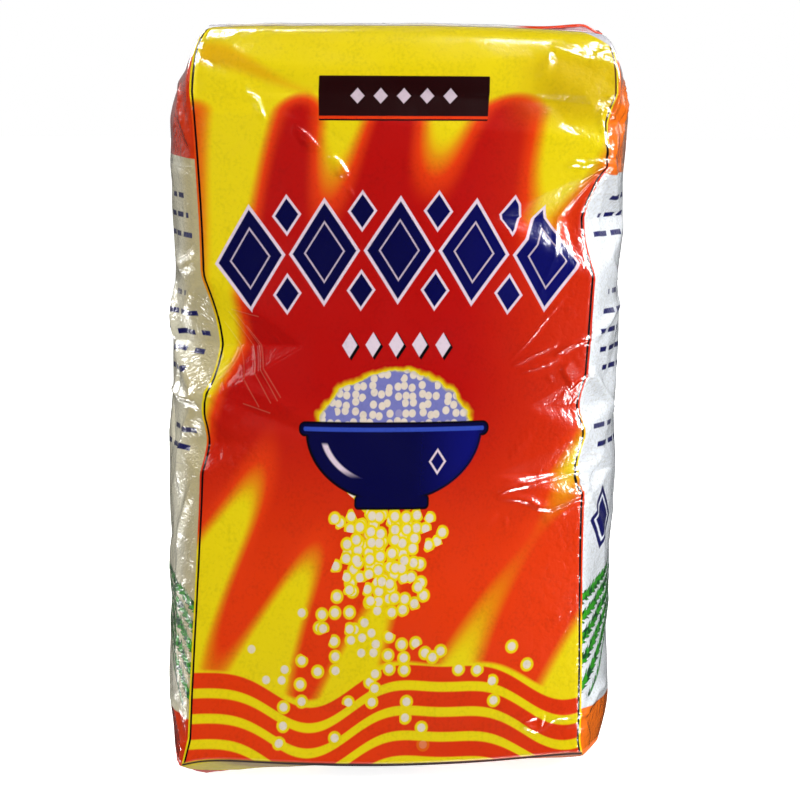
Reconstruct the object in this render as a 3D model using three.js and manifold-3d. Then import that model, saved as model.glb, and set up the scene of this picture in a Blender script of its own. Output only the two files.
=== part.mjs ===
// A one-kilogram bag of sugar standing upright: a block-bottomed film bag with side gussets.
// The film is drawn tight over the sugar, so the bag is one closed body. Its front and back are
// slightly pillowed, its sides swell between the four upright edges, and the edges are buckled
// here and there where the sugar has settled. The head is folded shut: front and back roll over
// a rounded shoulder and meet in a seal fin that lies flat on top, with the gussets tucked in at
// both ends. A lap seam runs up the back.
//
// Millimetres. X is the bag's width, Y its depth with the front at -Y, and Z is up from the floor.

import * as THREE from 'three';
import { mergeVertices } from 'three/addons/utils/BufferGeometryUtils.js';
import Module from 'manifold-3d';

// ---------------------------------------------------------------- driving dimensions

const HEAD_HEIGHT = 178.5; // top of the film, below the fin
const SHOULDER_HEIGHT = 163; // where the front starts to roll over
const SHOULDER_DEPTH = 10; // how far the roll reaches back
const SHOULDER_ROUNDNESS = 2.1; // exponent of the roll's curve, 2 being a circle

const EDGE_HALF_DEPTH = 29.5; // upright edges, front to back
const EDGE_HALF_WIDTH = { foot: 46.8, head: 52.2 }; // upright edges, side to side
const WAIST = { depth: 4.4, lift: 1.3 }; // how far they draw in, mostly above half height
const LEAN = 4.6; // how far the head stands to the right of the foot
// How far the middle of each side stands out from the bag's middle
const SWELL_HALF_WIDTH = { left: { foot: 52, head: 56.2 }, right: { foot: 54, head: 53.8 } };
const SWELL_FADE = { foot: [-16, 20], head: [155, 177] }; // heights over which it comes and goes
const SWELL_FULLNESS = 2.3; // exponent of the swell's curve across a side, 2 being a parabola
const FACE_PILLOW = { front: 4.6, back: 3.6, from: -12, fullest: 48, headShare: 0.35 };
const GUSSET_LINE = { depth: 0.9, halfWidth: 5 }; // the soft crease up the middle of each side
const EDGE_CHAMFER = 1.7; // the upright edges are folds, not knife edges

// Settled sugar swells or slackens the film in broad waves. Each wave has its length up the film,
// its lean across a panel and how it shifts from panel to panel.
const WAVE_DEPTH = 0.35;
const WAVES = [
  { length: 15, lean: 2.2, shift: 1 },
  { length: 26, lean: -3.1, shift: -2 },
];
const PANEL_SHIFT = { x: 1.3, y: 2.9 };
const WAVE_FREE_FOOT = 20; // the waves grow from nothing over this height

// The film turns under to the foot at a crease. The front's crease sags between its ends, and the
// front stands highest off the floor at its right, where the film comes to rest farthest back.
const FRONT_CREASE = { left: 5.6, right: 7.2, sag: 2.4 };
const BACK_CREASE = 4.4;
const SIDE_CREASE = { left: 5, right: 7.4 };
const CORNER_CREASE = { left: 3.4, right: 6.8, back: 2.4 }; // front left, front right, both back
const CREASE_SQUARENESS = { x: 8, y: 3 }; // how late the crease falls to its corners
const FRONT_REST = { left: -26, right: -1, bend: 0.5 }; // y at which the film comes to rest
const FOOT_TUCK = 6.5; // how far the film elsewhere runs under before it lies on the floor
const FOOT_SIDE_ROUNDNESS = 2.6; // exponent of the rounded turn under the middle of each side
const FOOT_FLARE = { width: 2.2, height: 10 }; // the corners of the block foot stand out

// The hollow under the front's shoulder, which runs down from the left to the right
const GROOVE = { height: 163, slope: -0.06, halfHeight: 7.5, depth: 2.4 };
const TUCK_DEPTH = 15; // how far the gussets are pushed in at the top
const TUCK_DROP = 3.2; // how deep their valleys lie
const TUCK_SHARPNESS = 1.2; // exponent of the valley's slopes, 1 being straight
const HEAD_DROOP = { left: 0.6, right: 2.6, sharpness: 3 }; // its fall towards the ends

const FIN = { root: 1.5, reach: 13, thickness: 0.9, halfLength: 49, sink: 0.7 };
const FIN_LIFT = { from: 26, root: 0.6, height: 2.4 }; // its right end stands off the film
const FIN_CURL = { run: 9, height: 1.5 }; // and turns up at the tip
// The lap seam's levels are those of filmPoint, and the stride is the step its slope is taken over
const SEAM = { halfWidth: 6, thickness: 0.7, sink: 0.8, from: 0.03, to: 1.9, stride: 0.01 };

// Buckles in the upright edges: which edge, the height of the buckle's middle, how deep it is and
// how far it reaches up, down, along the face and along the side.
const BUCKLES = [
  { side: -1, face: -1, z: 104, depth: 5.4, up: 17, down: 14, alongFace: 24, alongSide: 15 },
  { side: -1, face: -1, z: 81, depth: 1.9, up: 7, down: 8, alongFace: 12, alongSide: 12 },
  { side: 1, face: -1, z: 134, depth: 5.2, up: 13, down: 14, alongFace: 26, alongSide: 22 },
  { side: 1, face: -1, z: 90, depth: 2.2, up: 8, down: 6, alongFace: 14, alongSide: 12 },
  { side: 1, face: -1, z: 74, depth: 2.4, up: 9, down: 6, alongFace: 22, alongSide: 16 },
  { side: 1, face: -1, z: 156, depth: 1.8, up: 7, down: 7, alongFace: 14, alongSide: 12 },
  { side: 1, face: 1, z: 112, depth: 4.6, up: 15, down: 15, alongFace: 22, alongSide: 20 },
  { side: 1, face: 1, z: 60, depth: 3.0, up: 11, down: 11, alongFace: 16, alongSide: 14 },
  { side: -1, face: 1, z: 126, depth: 5.0, up: 17, down: 15, alongFace: 24, alongSide: 20 },
  { side: -1, face: 1, z: 52, depth: 3.4, up: 12, down: 12, alongFace: 18, alongSide: 14 },
];
const BUCKLE_LEAN = { x: 0.82, y: 0.57 }; // direction in which an edge gives way, inwards

// Fineness of the net of faces
const FACE_STEPS = 22;
const SIDE_STEPS = 14;
const WALL_STEPS = 30;
const HEAD_STEPS = 12;
const HEAD_CROWDING = 1.6; // exponent that gathers the head's rings at the shoulder
const FOOT_RINGS = [1, 0.8, 0.6, 0.4, 0.22, 0.145, 0.07]; // shares of the way in to the foot's middle
const RIBBON_STEPS = 40;
const MERGE_DISTANCE = 1e-3;

// ---------------------------------------------------------------- small helpers

const clamp = (value) => Math.min(1, Math.max(0, value));
const mix = (from, to, share) => from + (to - from) * share;

/** Rises smoothly from 0 at `from` to 1 at `to`. */
function ease(from, to, value) {
  const share = clamp((value - from) / (to - from));
  return share * share * (3 - 2 * share);
}

// ---------------------------------------------------------------- shape of the bag

function edgeHalfWidth(z) {
  const share = z / HEAD_HEIGHT;
  const straight = mix(EDGE_HALF_WIDTH.foot, EDGE_HALF_WIDTH.head, share);
  const flare = FOOT_FLARE.width * clamp(1 - z / FOOT_FLARE.height);
  return straight - WAIST.depth * Math.sin(Math.PI * share ** WAIST.lift) + flare;
}

/** How far the middle of the left or right side stands out from its upright edges. */
function swellAt(z, side) {
  const halfWidth = side < 0 ? SWELL_HALF_WIDTH.left : SWELL_HALF_WIDTH.right;
  const full = mix(halfWidth.foot, halfWidth.head, z / HEAD_HEIGHT) - edgeHalfWidth(z);
  return full * ease(...SWELL_FADE.foot, z) * (1 - ease(...SWELL_FADE.head, z));
}

function pillowAt(z, face) {
  const depth = face < 0 ? FACE_PILLOW.front : FACE_PILLOW.back;
  const headward = ease(FACE_PILLOW.fullest, HEAD_HEIGHT, z);
  const footward = ease(FACE_PILLOW.from, FACE_PILLOW.fullest, z);
  return depth * footward * mix(1, FACE_PILLOW.headShare, headward);
}

/** How far the broad waves of settled sugar push the film out at a point of the wall. */
function waveHeight(panel, along, z) {
  const turn = panel.sign * PANEL_SHIFT[panel.axis];
  let height = 0;
  for (const wave of WAVES) {
    height += Math.sin(z / wave.length + wave.lean * along + wave.shift * turn);
  }
  return WAVE_DEPTH * height * ease(0, WAVE_FREE_FOOT, z) * (1 - along * along);
}

/** How deep the hollow under the front's shoulder is at a point. */
function grooveDepth(x, z) {
  const middle = GROOVE.height + GROOVE.slope * x;
  return GROOVE.depth * clamp(1 - Math.abs(z - middle) / GROOVE.halfHeight);
}

/** How far the film is pushed in at a point, by the buckles of the nearest upright edge. */
function buckleDepth(side, face, z, fromEdge, onFace) {
  let depth = 0;
  for (const buckle of BUCKLES) {
    if (buckle.side !== side || buckle.face !== face) continue;
    const rise = z - buckle.z;
    const upDown = Math.abs(rise) / (rise > 0 ? buckle.up : buckle.down);
    const across = fromEdge / (onFace ? buckle.alongFace : buckle.alongSide);
    depth = Math.max(depth, buckle.depth * clamp(1 - upDown - across));
  }
  return depth;
}

/** A point of the upright wall. `along` runs from -1 to 1 over the panel, by x or by y. */
function wallPoint(panel, along, z) {
  const halfWidth = edgeHalfWidth(z);
  const onFace = panel.axis === 'x';
  const spread = onFace ? halfWidth : EDGE_HALF_DEPTH;
  const side = onFace ? Math.sign(along) || 1 : panel.sign;
  const face = onFace ? panel.sign : Math.sign(along) || 1;
  const fromEdge = spread * (1 - Math.abs(along));
  const push = buckleDepth(side, face, z, fromEdge, onFace);
  const wave = waveHeight(panel, along, z);
  if (onFace) {
    const x = halfWidth * along;
    const groove = face < 0 ? grooveDepth(x, z) : 0;
    const out = EDGE_HALF_DEPTH + pillowAt(z, face) * (1 - along * along) + wave - groove;
    return [x - side * push * BUCKLE_LEAN.x, face * (out - push * BUCKLE_LEAN.y)];
  }
  const y = EDGE_HALF_DEPTH * along;
  const line = GUSSET_LINE.depth * clamp(1 - Math.abs(y) / GUSSET_LINE.halfWidth);
  const swell = swellAt(z, side) * (1 - Math.abs(along) ** SWELL_FULLNESS);
  const out = halfWidth + swell + wave - line;
  return [side * (out - push * BUCKLE_LEAN.x), y - face * push * BUCKLE_LEAN.y];
}

/** The four panels' stations in order round the bag, seen from above, starting at the front left. */
function perimeter() {
  const panels = [
    { axis: 'x', sign: -1, from: -1, steps: FACE_STEPS },
    { axis: 'y', sign: 1, from: -1, steps: SIDE_STEPS },
    { axis: 'x', sign: 1, from: 1, steps: FACE_STEPS },
    { axis: 'y', sign: -1, from: 1, steps: SIDE_STEPS },
  ];
  const stations = [];
  for (const panel of panels) {
    const chamfer = EDGE_CHAMFER / (panel.axis === 'x' ? EDGE_HALF_WIDTH.foot : EDGE_HALF_DEPTH);
    for (let step = 0; step <= panel.steps; step += 1) {
      const along = panel.from * (1 - (2 * step) / panel.steps) * (1 - chamfer);
      stations.push({ panel, along });
    }
  }
  return stations;
}

/** Draws the outline at height z in towards a line along X, wholly at share 1. */
function drawnIn(station, z, share, lineHalfLength) {
  const [x, y] = wallPoint(station.panel, station.along, z);
  const onFace = station.panel.axis === 'x';
  const target = lineHalfLength * (onFace ? station.along : station.panel.sign);
  return [mix(x, target, share), mix(y, 0, share)];
}

/** How far the head has fallen away at x, towards its left or right end. */
function droopAt(x) {
  const droop = x < 0 ? HEAD_DROOP.left : HEAD_DROOP.right;
  return droop * (Math.abs(x) / EDGE_HALF_WIDTH.head) ** HEAD_DROOP.sharpness;
}

/** Height of the head's film where the outline has been drawn in by `share`. */
function headHeight(station, x, share) {
  const roll = clamp(share / (SHOULDER_DEPTH / EDGE_HALF_DEPTH));
  const flapRise = (1 - (1 - roll) ** SHOULDER_ROUNDNESS) ** (1 / SHOULDER_ROUNDNESS);
  let rise = flapRise;
  let valley = 0;
  if (station.panel.axis === 'y') {
    const fromMiddle = Math.abs(station.along) ** TUCK_SHARPNESS;
    rise = mix(share, flapRise, fromMiddle);
    valley = TUCK_DROP * (1 - fromMiddle) * Math.sin(Math.PI * share);
  }
  return mix(SHOULDER_HEIGHT, HEAD_HEIGHT, rise) - valley - droopAt(x) * flapRise;
}

/** Height of the front's crease, `along` it from -1 to 1. */
function frontCreaseHeight(along) {
  const share = (along + 1) / 2;
  const sag = FRONT_CREASE.sag * Math.sin(Math.PI * share);
  const level = mix(FRONT_CREASE.left, FRONT_CREASE.right, share) - sag;
  const corner = mix(CORNER_CREASE.left, CORNER_CREASE.right, share);
  return mix(level, corner, Math.abs(along) ** CREASE_SQUARENESS.x);
}

/** Height at which the film turns under to the foot, at a station. */
function creaseHeight(station) {
  const { panel, along } = station;
  const toCorner = Math.abs(along) ** CREASE_SQUARENESS[panel.axis];
  if (panel.axis === 'x') {
    if (panel.sign < 0) return frontCreaseHeight(along);
    return mix(BACK_CREASE, CORNER_CREASE.back, toCorner);
  }
  const side = panel.sign < 0 ? 'left' : 'right';
  const corner = along < 0 ? CORNER_CREASE[side] : CORNER_CREASE.back;
  return mix(SIDE_CREASE[side], corner, toCorner);
}

/** Height of the front's underside at a point, 0 from where the film comes to rest. */
function undersideHeight(x, y) {
  const along = Math.max(-1, Math.min(1, x / EDGE_HALF_WIDTH.foot));
  const rest = mix(FRONT_REST.left, FRONT_REST.right, ((along + 1) / 2) ** FRONT_REST.bend);
  return frontCreaseHeight(along) * clamp((rest - y) / (rest + EDGE_HALF_DEPTH));
}

/** A point of the foot, at share 0 on its crease and at share 1 on its middle line. */
function footPoint(station, share) {
  const crease = creaseHeight(station);
  const climb = clamp(1 - (share * EDGE_HALF_DEPTH) / FOOT_TUCK);
  const fromCorner = station.panel.axis === 'x' ? 0 : 1 - Math.abs(station.along);
  const turned = crease * climb ** mix(1, FOOT_SIDE_ROUNDNESS, fromCorner);
  const footLine = EDGE_HALF_WIDTH.foot - EDGE_HALF_DEPTH;
  const [x, y] = drawnIn(station, crease * climb, share, footLine);
  return [x, y, Math.max(turned, undersideHeight(x, y))];
}

/** A point of the film: level 0 to 1 is the upright wall, and 1 to 2 the head. */
function filmPoint(station, level) {
  if (level <= 1) {
    const z = mix(creaseHeight(station), SHOULDER_HEIGHT, level);
    return [...wallPoint(station.panel, station.along, z), z];
  }
  const share = level - 1;
  const z = mix(SHOULDER_HEIGHT, HEAD_HEIGHT, share);
  const [x, y] = drawnIn(station, z, share, EDGE_HALF_WIDTH.head - TUCK_DEPTH);
  return [x, y, headHeight(station, x, share)];
}

/** Every ring of the bag from the middle line of the foot to that of the head. */
function rings(stations) {
  const made = FOOT_RINGS.map((share) => stations.map((station) => footPoint(station, share)));
  for (let step = 0; step <= WALL_STEPS; step += 1) {
    made.push(stations.map((station) => filmPoint(station, step / WALL_STEPS)));
  }
  for (let step = 1; step <= HEAD_STEPS; step += 1) {
    const level = 1 + (step / HEAD_STEPS) ** HEAD_CROWDING;
    made.push(stations.map((station) => filmPoint(station, level)));
  }
  return made;
}

// ---------------------------------------------------------------- nets of faces

/** A closed geometry of points in rings, each joined to the next; `capped` closes both ends. */
function skin(loops, capped) {
  const count = loops[0].length;
  const positions = loops.flat(2);
  const index = [];
  for (let level = 0; level + 1 < loops.length; level += 1) {
    for (let place = 0; place < count; place += 1) {
      const next = (place + 1) % count;
      const a = level * count + place;
      const b = level * count + next;
      index.push(a, b, b + count, a, b + count, a + count);
    }
  }
  if (capped) {
    const last = (loops.length - 1) * count;
    for (let place = 1; place + 1 < count; place += 1) {
      index.push(0, place + 1, place);
      index.push(last, last + place, last + place + 1);
    }
  }
  const geometry = new THREE.BufferGeometry();
  geometry.setAttribute('position', new THREE.Float32BufferAttribute(positions, 3));
  geometry.setIndex(index);
  return withoutSlivers(mergeVertices(geometry, MERGE_DISTANCE));
}

/** Leaves out the faces that lost a side when their points were merged. */
function withoutSlivers(geometry) {
  const old = geometry.index.array;
  const kept = [];
  for (let face = 0; face < old.length; face += 3) {
    const [a, b, c] = [old[face], old[face + 1], old[face + 2]];
    if (a !== b && b !== c && c !== a) kept.push(a, b, c);
  }
  geometry.setIndex(kept);
  return geometry;
}

/** A flat strip of film as a closed geometry: `section(share)` gives its four corners in order. */
function ribbon(section) {
  const loops = [];
  for (let step = 0; step <= RIBBON_STEPS; step += 1) {
    loops.push(section(step / RIBBON_STEPS));
  }
  return skin(loops, true);
}

/** The seal fin: rooted along the middle of the head, folded forwards and lying on the film. */
function fin() {
  return ribbon((share) => {
    const x = mix(-FIN.halfLength, FIN.halfLength, share);
    const film = HEAD_HEIGHT - droopAt(x);
    const lifted = ease(FIN_LIFT.from, FIN.halfLength, x);
    const curled = ease(FIN.halfLength - FIN_CURL.run, FIN.halfLength, x);
    const root = film + FIN_LIFT.root * lifted;
    const edge = film + FIN_LIFT.height * lifted + FIN_CURL.height * curled;
    const sink = FIN.sink * (1 - lifted);
    return [
      [x, FIN.root, root - FIN.sink],
      [x, FIN.root, root + FIN.thickness],
      [x, FIN.root - FIN.reach, edge + FIN.thickness],
      [x, FIN.root - FIN.reach, edge - sink],
    ];
  });
}

/** The lap seam: a double thickness of film up the middle of the back and over to the fin. */
function seam() {
  const panel = { axis: 'x', sign: 1 };
  const corner = (x, level, offset) => {
    const along = x / EDGE_HALF_WIDTH.foot;
    const [, y, z] = filmPoint({ panel, along }, level);
    const [, nextY, nextZ] = filmPoint({ panel, along }, level + SEAM.stride);
    const length = Math.hypot(nextY - y, nextZ - z);
    return [x, y + (offset * (nextZ - z)) / length, z - (offset * (nextY - y)) / length];
  };
  return ribbon((share) => {
    const level = mix(SEAM.from, SEAM.to, share);
    return [
      corner(-SEAM.halfWidth, level, -SEAM.sink),
      corner(SEAM.halfWidth, level, -SEAM.sink),
      corner(SEAM.halfWidth, level, SEAM.thickness),
      corner(-SEAM.halfWidth, level, SEAM.thickness),
    ];
  });
}

// ---------------------------------------------------------------- joining

const wasm = await Module();
wasm.setup();

function toSolid(geometry) {
  const mesh = new wasm.Mesh({
    numProp: 3,
    vertProperties: new Float32Array(geometry.attributes.position.array),
    triVerts: new Uint32Array(geometry.index.array),
  });
  return new wasm.Manifold(mesh);
}

function toGeometry(solid) {
  const { vertProperties, triVerts } = solid.getMesh();
  const geometry = new THREE.BufferGeometry();
  geometry.setAttribute('position', new THREE.Float32BufferAttribute(vertProperties, 3));
  geometry.setIndex([...triVerts]);
  geometry.computeVertexNormals();
  return geometry;
}

/** Slants the whole bag to the right, its foot staying flat on the floor. */
function leaning(geometry) {
  const { position } = geometry.attributes;
  for (let corner = 0; corner < position.count; corner += 1) {
    const shift = (LEAN * position.getZ(corner)) / HEAD_HEIGHT;
    position.setX(corner, position.getX(corner) + shift);
  }
  return geometry;
}

/** Puts the bag's middle over the origin and its foot on the floor. */
function centred(geometry) {
  geometry.computeBoundingBox();
  const { min, max } = geometry.boundingBox;
  return geometry.translate(-(min.x + max.x) / 2, -(min.y + max.y) / 2, -min.z);
}

const body = toSolid(skin(rings(perimeter()), false));
const bag = toGeometry(body.add(toSolid(fin())).add(toSolid(seam())));

const film = new THREE.MeshStandardMaterial({ color: 0xe04a12, roughness: 0.28, metalness: 0 });
const sugarBag = new THREE.Mesh(centred(leaning(bag)), film);
sugarBag.name = 'sugar_bag';

const object = new THREE.Group();
object.add(sugarBag);

export default object;
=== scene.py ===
"""The looks of a one-kilogram bag of sugar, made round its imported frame.

The bag is one tube of printed packing film, folded to a block bottom with side gussets, filled
with sugar, and shut by a seal fin that lies flat on its head. Its print is laid out on the flat
film, as a printer lays it out, and the film carries it round every dent and crease.

Points on the flat film are (across, up) in millimetres. The front is in the middle, from -52 to
52 across, with a side gusset beyond each of its edges and half of the back beyond each gusset.
Up starts at the foot's crease, and is close to the height above the floor on the bag's wall.
The bag's sizes are in millimetres. The studio's sizes, the depths of the film's fine relief and
every mesh are in metres.
"""

import logging
import math
from dataclasses import dataclass, field, replace
from enum import Enum
from typing import Protocol, Sequence, Union

import bmesh
import bpy
import numpy as np
from mathutils import Matrix, Vector


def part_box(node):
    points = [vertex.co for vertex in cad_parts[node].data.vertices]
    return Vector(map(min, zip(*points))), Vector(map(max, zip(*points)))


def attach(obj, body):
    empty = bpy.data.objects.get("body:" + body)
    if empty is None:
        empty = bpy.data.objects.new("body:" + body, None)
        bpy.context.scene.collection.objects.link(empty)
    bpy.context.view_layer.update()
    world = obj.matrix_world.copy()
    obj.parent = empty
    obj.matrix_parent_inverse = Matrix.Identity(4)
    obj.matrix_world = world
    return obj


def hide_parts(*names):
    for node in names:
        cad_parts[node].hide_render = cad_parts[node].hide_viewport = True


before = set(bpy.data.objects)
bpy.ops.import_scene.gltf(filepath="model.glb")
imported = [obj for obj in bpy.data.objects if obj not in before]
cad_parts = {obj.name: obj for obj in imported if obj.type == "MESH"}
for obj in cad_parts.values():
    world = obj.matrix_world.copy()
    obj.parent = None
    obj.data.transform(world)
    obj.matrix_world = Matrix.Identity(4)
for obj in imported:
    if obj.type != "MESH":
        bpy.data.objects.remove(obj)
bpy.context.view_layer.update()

logging.basicConfig(level=logging.INFO, format="%(levelname)s %(message)s")
log = logging.getLogger("sugar_bag")

MM = 0.001
NODE = "sugar_bag"
BODY = "root"
# the flat film: half a face's width, a gusset's width, and the name of its coordinates
FACE_HALF = 52.0
GUSSET = 59.0
FLAT_MAP = "flat_film"
# how soft the edge of a choice is, where whole grains are kept or dropped
SHARP = 0.01

Array = np.ndarray
Point = tuple[float, float]
Crease = tuple[Point, Point]
Triple = tuple[float, float, float]
Colour = Triple


# ------------------------------------------------------------------ small helpers


def clamp(value: Array) -> Array:
    """Holds a value between 0 and 1."""
    return np.clip(value, 0.0, 1.0)


def mix(start: Array, end: Array, share: Array) -> Array:
    """Runs from start at share 0 to end at share 1."""
    return start + (end - start) * share


def ease(start: float, end: float, value: Array) -> Array:
    """Rises smoothly from 0 at start to 1 at end.

    Args:
        start: where the rise begins.
        end: where the rise is over.
        value: where it is asked for.

    Returns:
        The share of the rise, between 0 and 1.
    """
    share = clamp((np.asarray(value, float) - start) / (end - start))
    return share * share * (3.0 - 2.0 * share)


def srgb(red: int, green: int, blue: int) -> Colour:
    """Turns a colour as a screen shows it, from 0 to 255, into linear light."""

    def linear(level: int) -> float:
        """One channel's linear light."""
        share = level / 255.0
        return share / 12.92 if share <= 0.04045 else ((share + 0.055) / 1.055) ** 2.4

    return linear(red), linear(green), linear(blue)


# ------------------------------------------------------------------ the bag's form


class Panel(Enum):
    """A panel of the bag: whether it faces along Y, and whether towards plus or minus."""

    FRONT = (True, -1)
    RIGHT = (False, 1)
    BACK = (True, 1)
    LEFT = (False, -1)

    @property
    def is_face(self) -> bool:
        """True for the front and the back."""
        return self.value[0]

    @property
    def sign(self) -> int:
        """Which way the panel faces."""
        return self.value[1]


@dataclass(frozen=True)
class Buckle:
    """A dent where an upright edge of the bag has given way."""

    side: int
    face: int
    height: float
    depth: float
    above: float
    below: float
    along_face: float
    along_side: float
    steepness: float = 1.3
    rounding: float = 0.36

    def depth_at(self, z: Array, from_edge: Array, on_face: bool) -> Array:
        """How far the film is pushed in by this dent.

        Args:
            z: heights above the floor.
            from_edge: distances from the upright edge.
            on_face: True on the front or back, False on a side.

        Returns:
            The push in millimetres, 0 outside the dent.
        """
        rise = z - self.height
        up_down = np.abs(rise) / np.where(rise > 0, self.above, self.below)
        across = from_edge / (self.along_face if on_face else self.along_side)
        share = clamp(1.0 - up_down - across)
        return self.depth * share * (self.steepness - self.rounding * share**2)


@dataclass
class BagForm:
    """The bag's shape, by the same named values as its solid."""

    head_height: float = 178.5
    shoulder_height: float = 163.0
    shoulder_depth: float = 10.0
    shoulder_roundness: float = 2.1
    edge_half_depth: float = 29.5
    edge_half_width: Point = (46.8, 52.2)
    waist: float = 4.4
    waist_lift: float = 1.3
    lean: float = 4.6
    swell_left: Point = (52.0, 56.2)
    swell_right: Point = (54.0, 53.8)
    swell_fade_foot: Point = (-16.0, 20.0)
    swell_fade_head: Point = (155.0, 177.0)
    swell_fullness: float = 2.3
    pillow_front: float = 4.6
    pillow_back: float = 3.6
    pillow_from: float = -12.0
    pillow_fullest: float = 48.0
    pillow_head_share: float = 0.35
    gusset_line_depth: float = 0.9
    gusset_line_half_width: float = 5.0
    edge_chamfer: float = 1.7
    wave_depth: float = 0.35
    waves: tuple[tuple[float, float, float], ...] = ((15.0, 2.2, 1.0), (26.0, -3.1, -2.0))
    wave_shift_face: float = 1.3
    wave_shift_side: float = 2.9
    wave_free_foot: float = 20.0
    front_crease: Point = (5.6, 7.2)
    front_crease_sag: float = 2.4
    back_crease: float = 4.4
    side_crease: Point = (5.0, 7.4)
    corner_crease: Point = (3.4, 6.8)
    back_corner_crease: float = 2.4
    crease_squareness_face: float = 8.0
    crease_squareness_side: float = 3.0
    front_rest: Point = (-26.0, -1.0)
    front_rest_bend: float = 0.5
    foot_tuck: float = 6.5
    foot_side_roundness: float = 2.6
    flare_width: float = 2.2
    flare_height: float = 10.0
    groove_height: float = 163.0
    groove_slope: float = -0.06
    groove_half_height: float = 7.5
    groove_depth: float = 2.4
    tuck_depth: float = 15.0
    tuck_drop: float = 3.2
    tuck_sharpness: float = 1.2
    droop_left: float = 0.6
    droop_right: float = 2.6
    droop_sharpness: float = 3.0
    buckle_lean: Point = (0.82, 0.57)
    buckles: tuple[Buckle, ...] = (
        Buckle(-1, -1, 104.0, 5.4, 17.0, 14.0, 24.0, 15.0),
        Buckle(-1, -1, 81.0, 1.9, 7.0, 8.0, 12.0, 12.0),
        Buckle(1, -1, 134.0, 5.2, 13.0, 14.0, 26.0, 22.0),
        Buckle(1, -1, 90.0, 2.2, 8.0, 6.0, 14.0, 12.0),
        Buckle(1, -1, 74.0, 2.4, 9.0, 6.0, 22.0, 16.0),
        Buckle(1, -1, 156.0, 1.8, 7.0, 7.0, 14.0, 12.0),
        Buckle(1, 1, 112.0, 4.6, 15.0, 15.0, 22.0, 20.0),
        Buckle(1, 1, 60.0, 3.0, 11.0, 11.0, 16.0, 14.0),
        Buckle(-1, 1, 126.0, 5.0, 17.0, 15.0, 24.0, 20.0),
        Buckle(-1, 1, 52.0, 3.4, 12.0, 12.0, 18.0, 14.0),
    )

    def edge_at(self, z: Array) -> Array:
        """Half the distance between the upright edges, side to side, at heights z."""
        share = z / self.head_height
        straight = mix(*self.edge_half_width, share)
        flare = self.flare_width * clamp(1.0 - z / self.flare_height)
        drawn = self.waist * np.sin(np.pi * clamp(share) ** self.waist_lift)
        return straight - drawn + flare

    def swell_at(self, z: Array, side: int) -> Array:
        """How far the middle of a side stands out from its upright edges at heights z."""
        half_width = self.swell_left if side < 0 else self.swell_right
        full = mix(*half_width, z / self.head_height) - self.edge_at(z)
        fade = ease(*self.swell_fade_foot, z) * (1.0 - ease(*self.swell_fade_head, z))
        return full * fade

    def pillow_at(self, z: Array, face: int) -> Array:
        """How far the middle of the front or back stands out at heights z."""
        depth = self.pillow_front if face < 0 else self.pillow_back
        footward = ease(self.pillow_from, self.pillow_fullest, z)
        headward = ease(self.pillow_fullest, self.head_height, z)
        return depth * footward * mix(1.0, self.pillow_head_share, headward)

    def wave_at(self, panel: Panel, along: Array, z: Array) -> Array:
        """How far the broad waves of settled sugar push the film out."""
        turn = panel.sign * (self.wave_shift_face if panel.is_face else self.wave_shift_side)
        height = 0.0
        for length, lean, shift in self.waves:
            height = height + np.sin(z / length + lean * along + shift * turn)
        return self.wave_depth * height * ease(0.0, self.wave_free_foot, z) * (1.0 - along**2)

    def groove_at(self, x: Array, z: Array) -> Array:
        """How deep the hollow under the front's shoulder is."""
        middle = self.groove_height + self.groove_slope * x
        return self.groove_depth * clamp(1.0 - np.abs(z - middle) / self.groove_half_height)

    def push_at(self, side: int, face: int, z: Array, from_edge: Array, on_face: bool) -> Array:
        """How far the dents of one upright edge push the film in."""
        depth = np.zeros(np.broadcast(z, from_edge).shape)
        for buckle in self.buckles:
            if (buckle.side, buckle.face) == (side, face):
                depth = np.maximum(depth, buckle.depth_at(z, from_edge, on_face))
        return depth

    def wall(self, panel: Panel, along: Array, z: Array) -> tuple[Array, Array]:
        """The upright wall.

        Args:
            panel: the panel of the bag.
            along: places across the panel, from -1 to 1 in the direction of X or Y.
            z: heights above the floor.

        Returns:
            The wall's x and y.
        """
        half_width = self.edge_at(z)
        spread = half_width if panel.is_face else self.edge_half_depth
        from_edge = spread * (1.0 - np.abs(along)) + 0.0 * z
        end = np.where(along < 0, -1, 1)
        pushes = []
        for sign in (-1, 1):
            side, face = (sign, panel.sign) if panel.is_face else (panel.sign, sign)
            pushes.append(self.push_at(side, face, z, from_edge, panel.is_face))
        push = np.where(end < 0, pushes[0], pushes[1])
        wave = self.wave_at(panel, along, z)
        lean_x, lean_y = self.buckle_lean
        if panel.is_face:
            x = half_width * along
            groove = self.groove_at(x, z) if panel.sign < 0 else 0.0
            pillow = self.pillow_at(z, panel.sign) * (1.0 - along**2)
            out = self.edge_half_depth + pillow + wave - groove
            return x - end * push * lean_x, panel.sign * (out - push * lean_y)
        y = self.edge_half_depth * along + 0.0 * z
        line = self.gusset_line_depth * clamp(1.0 - np.abs(y) / self.gusset_line_half_width)
        swell = self.swell_at(z, panel.sign) * (1.0 - np.abs(along) ** self.swell_fullness)
        out = half_width + swell + wave - line
        return panel.sign * (out - push * lean_x), y - end * push * lean_y

    def drawn_in(
        self, panel: Panel, along: Array, z: Array, share: Array, line: float
    ) -> tuple[Array, Array]:
        """The wall's outline, drawn in towards a line along X that is 2 * line long."""
        x, y = self.wall(panel, along, z)
        target = line * (along if panel.is_face else panel.sign)
        return mix(x, target, share), mix(y, 0.0, share)

    def droop_at(self, x: Array) -> Array:
        """How far the head has fallen away at x."""
        droop = np.where(x < 0, self.droop_left, self.droop_right)
        return droop * (np.abs(x) / self.edge_half_width[1]) ** self.droop_sharpness

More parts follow.
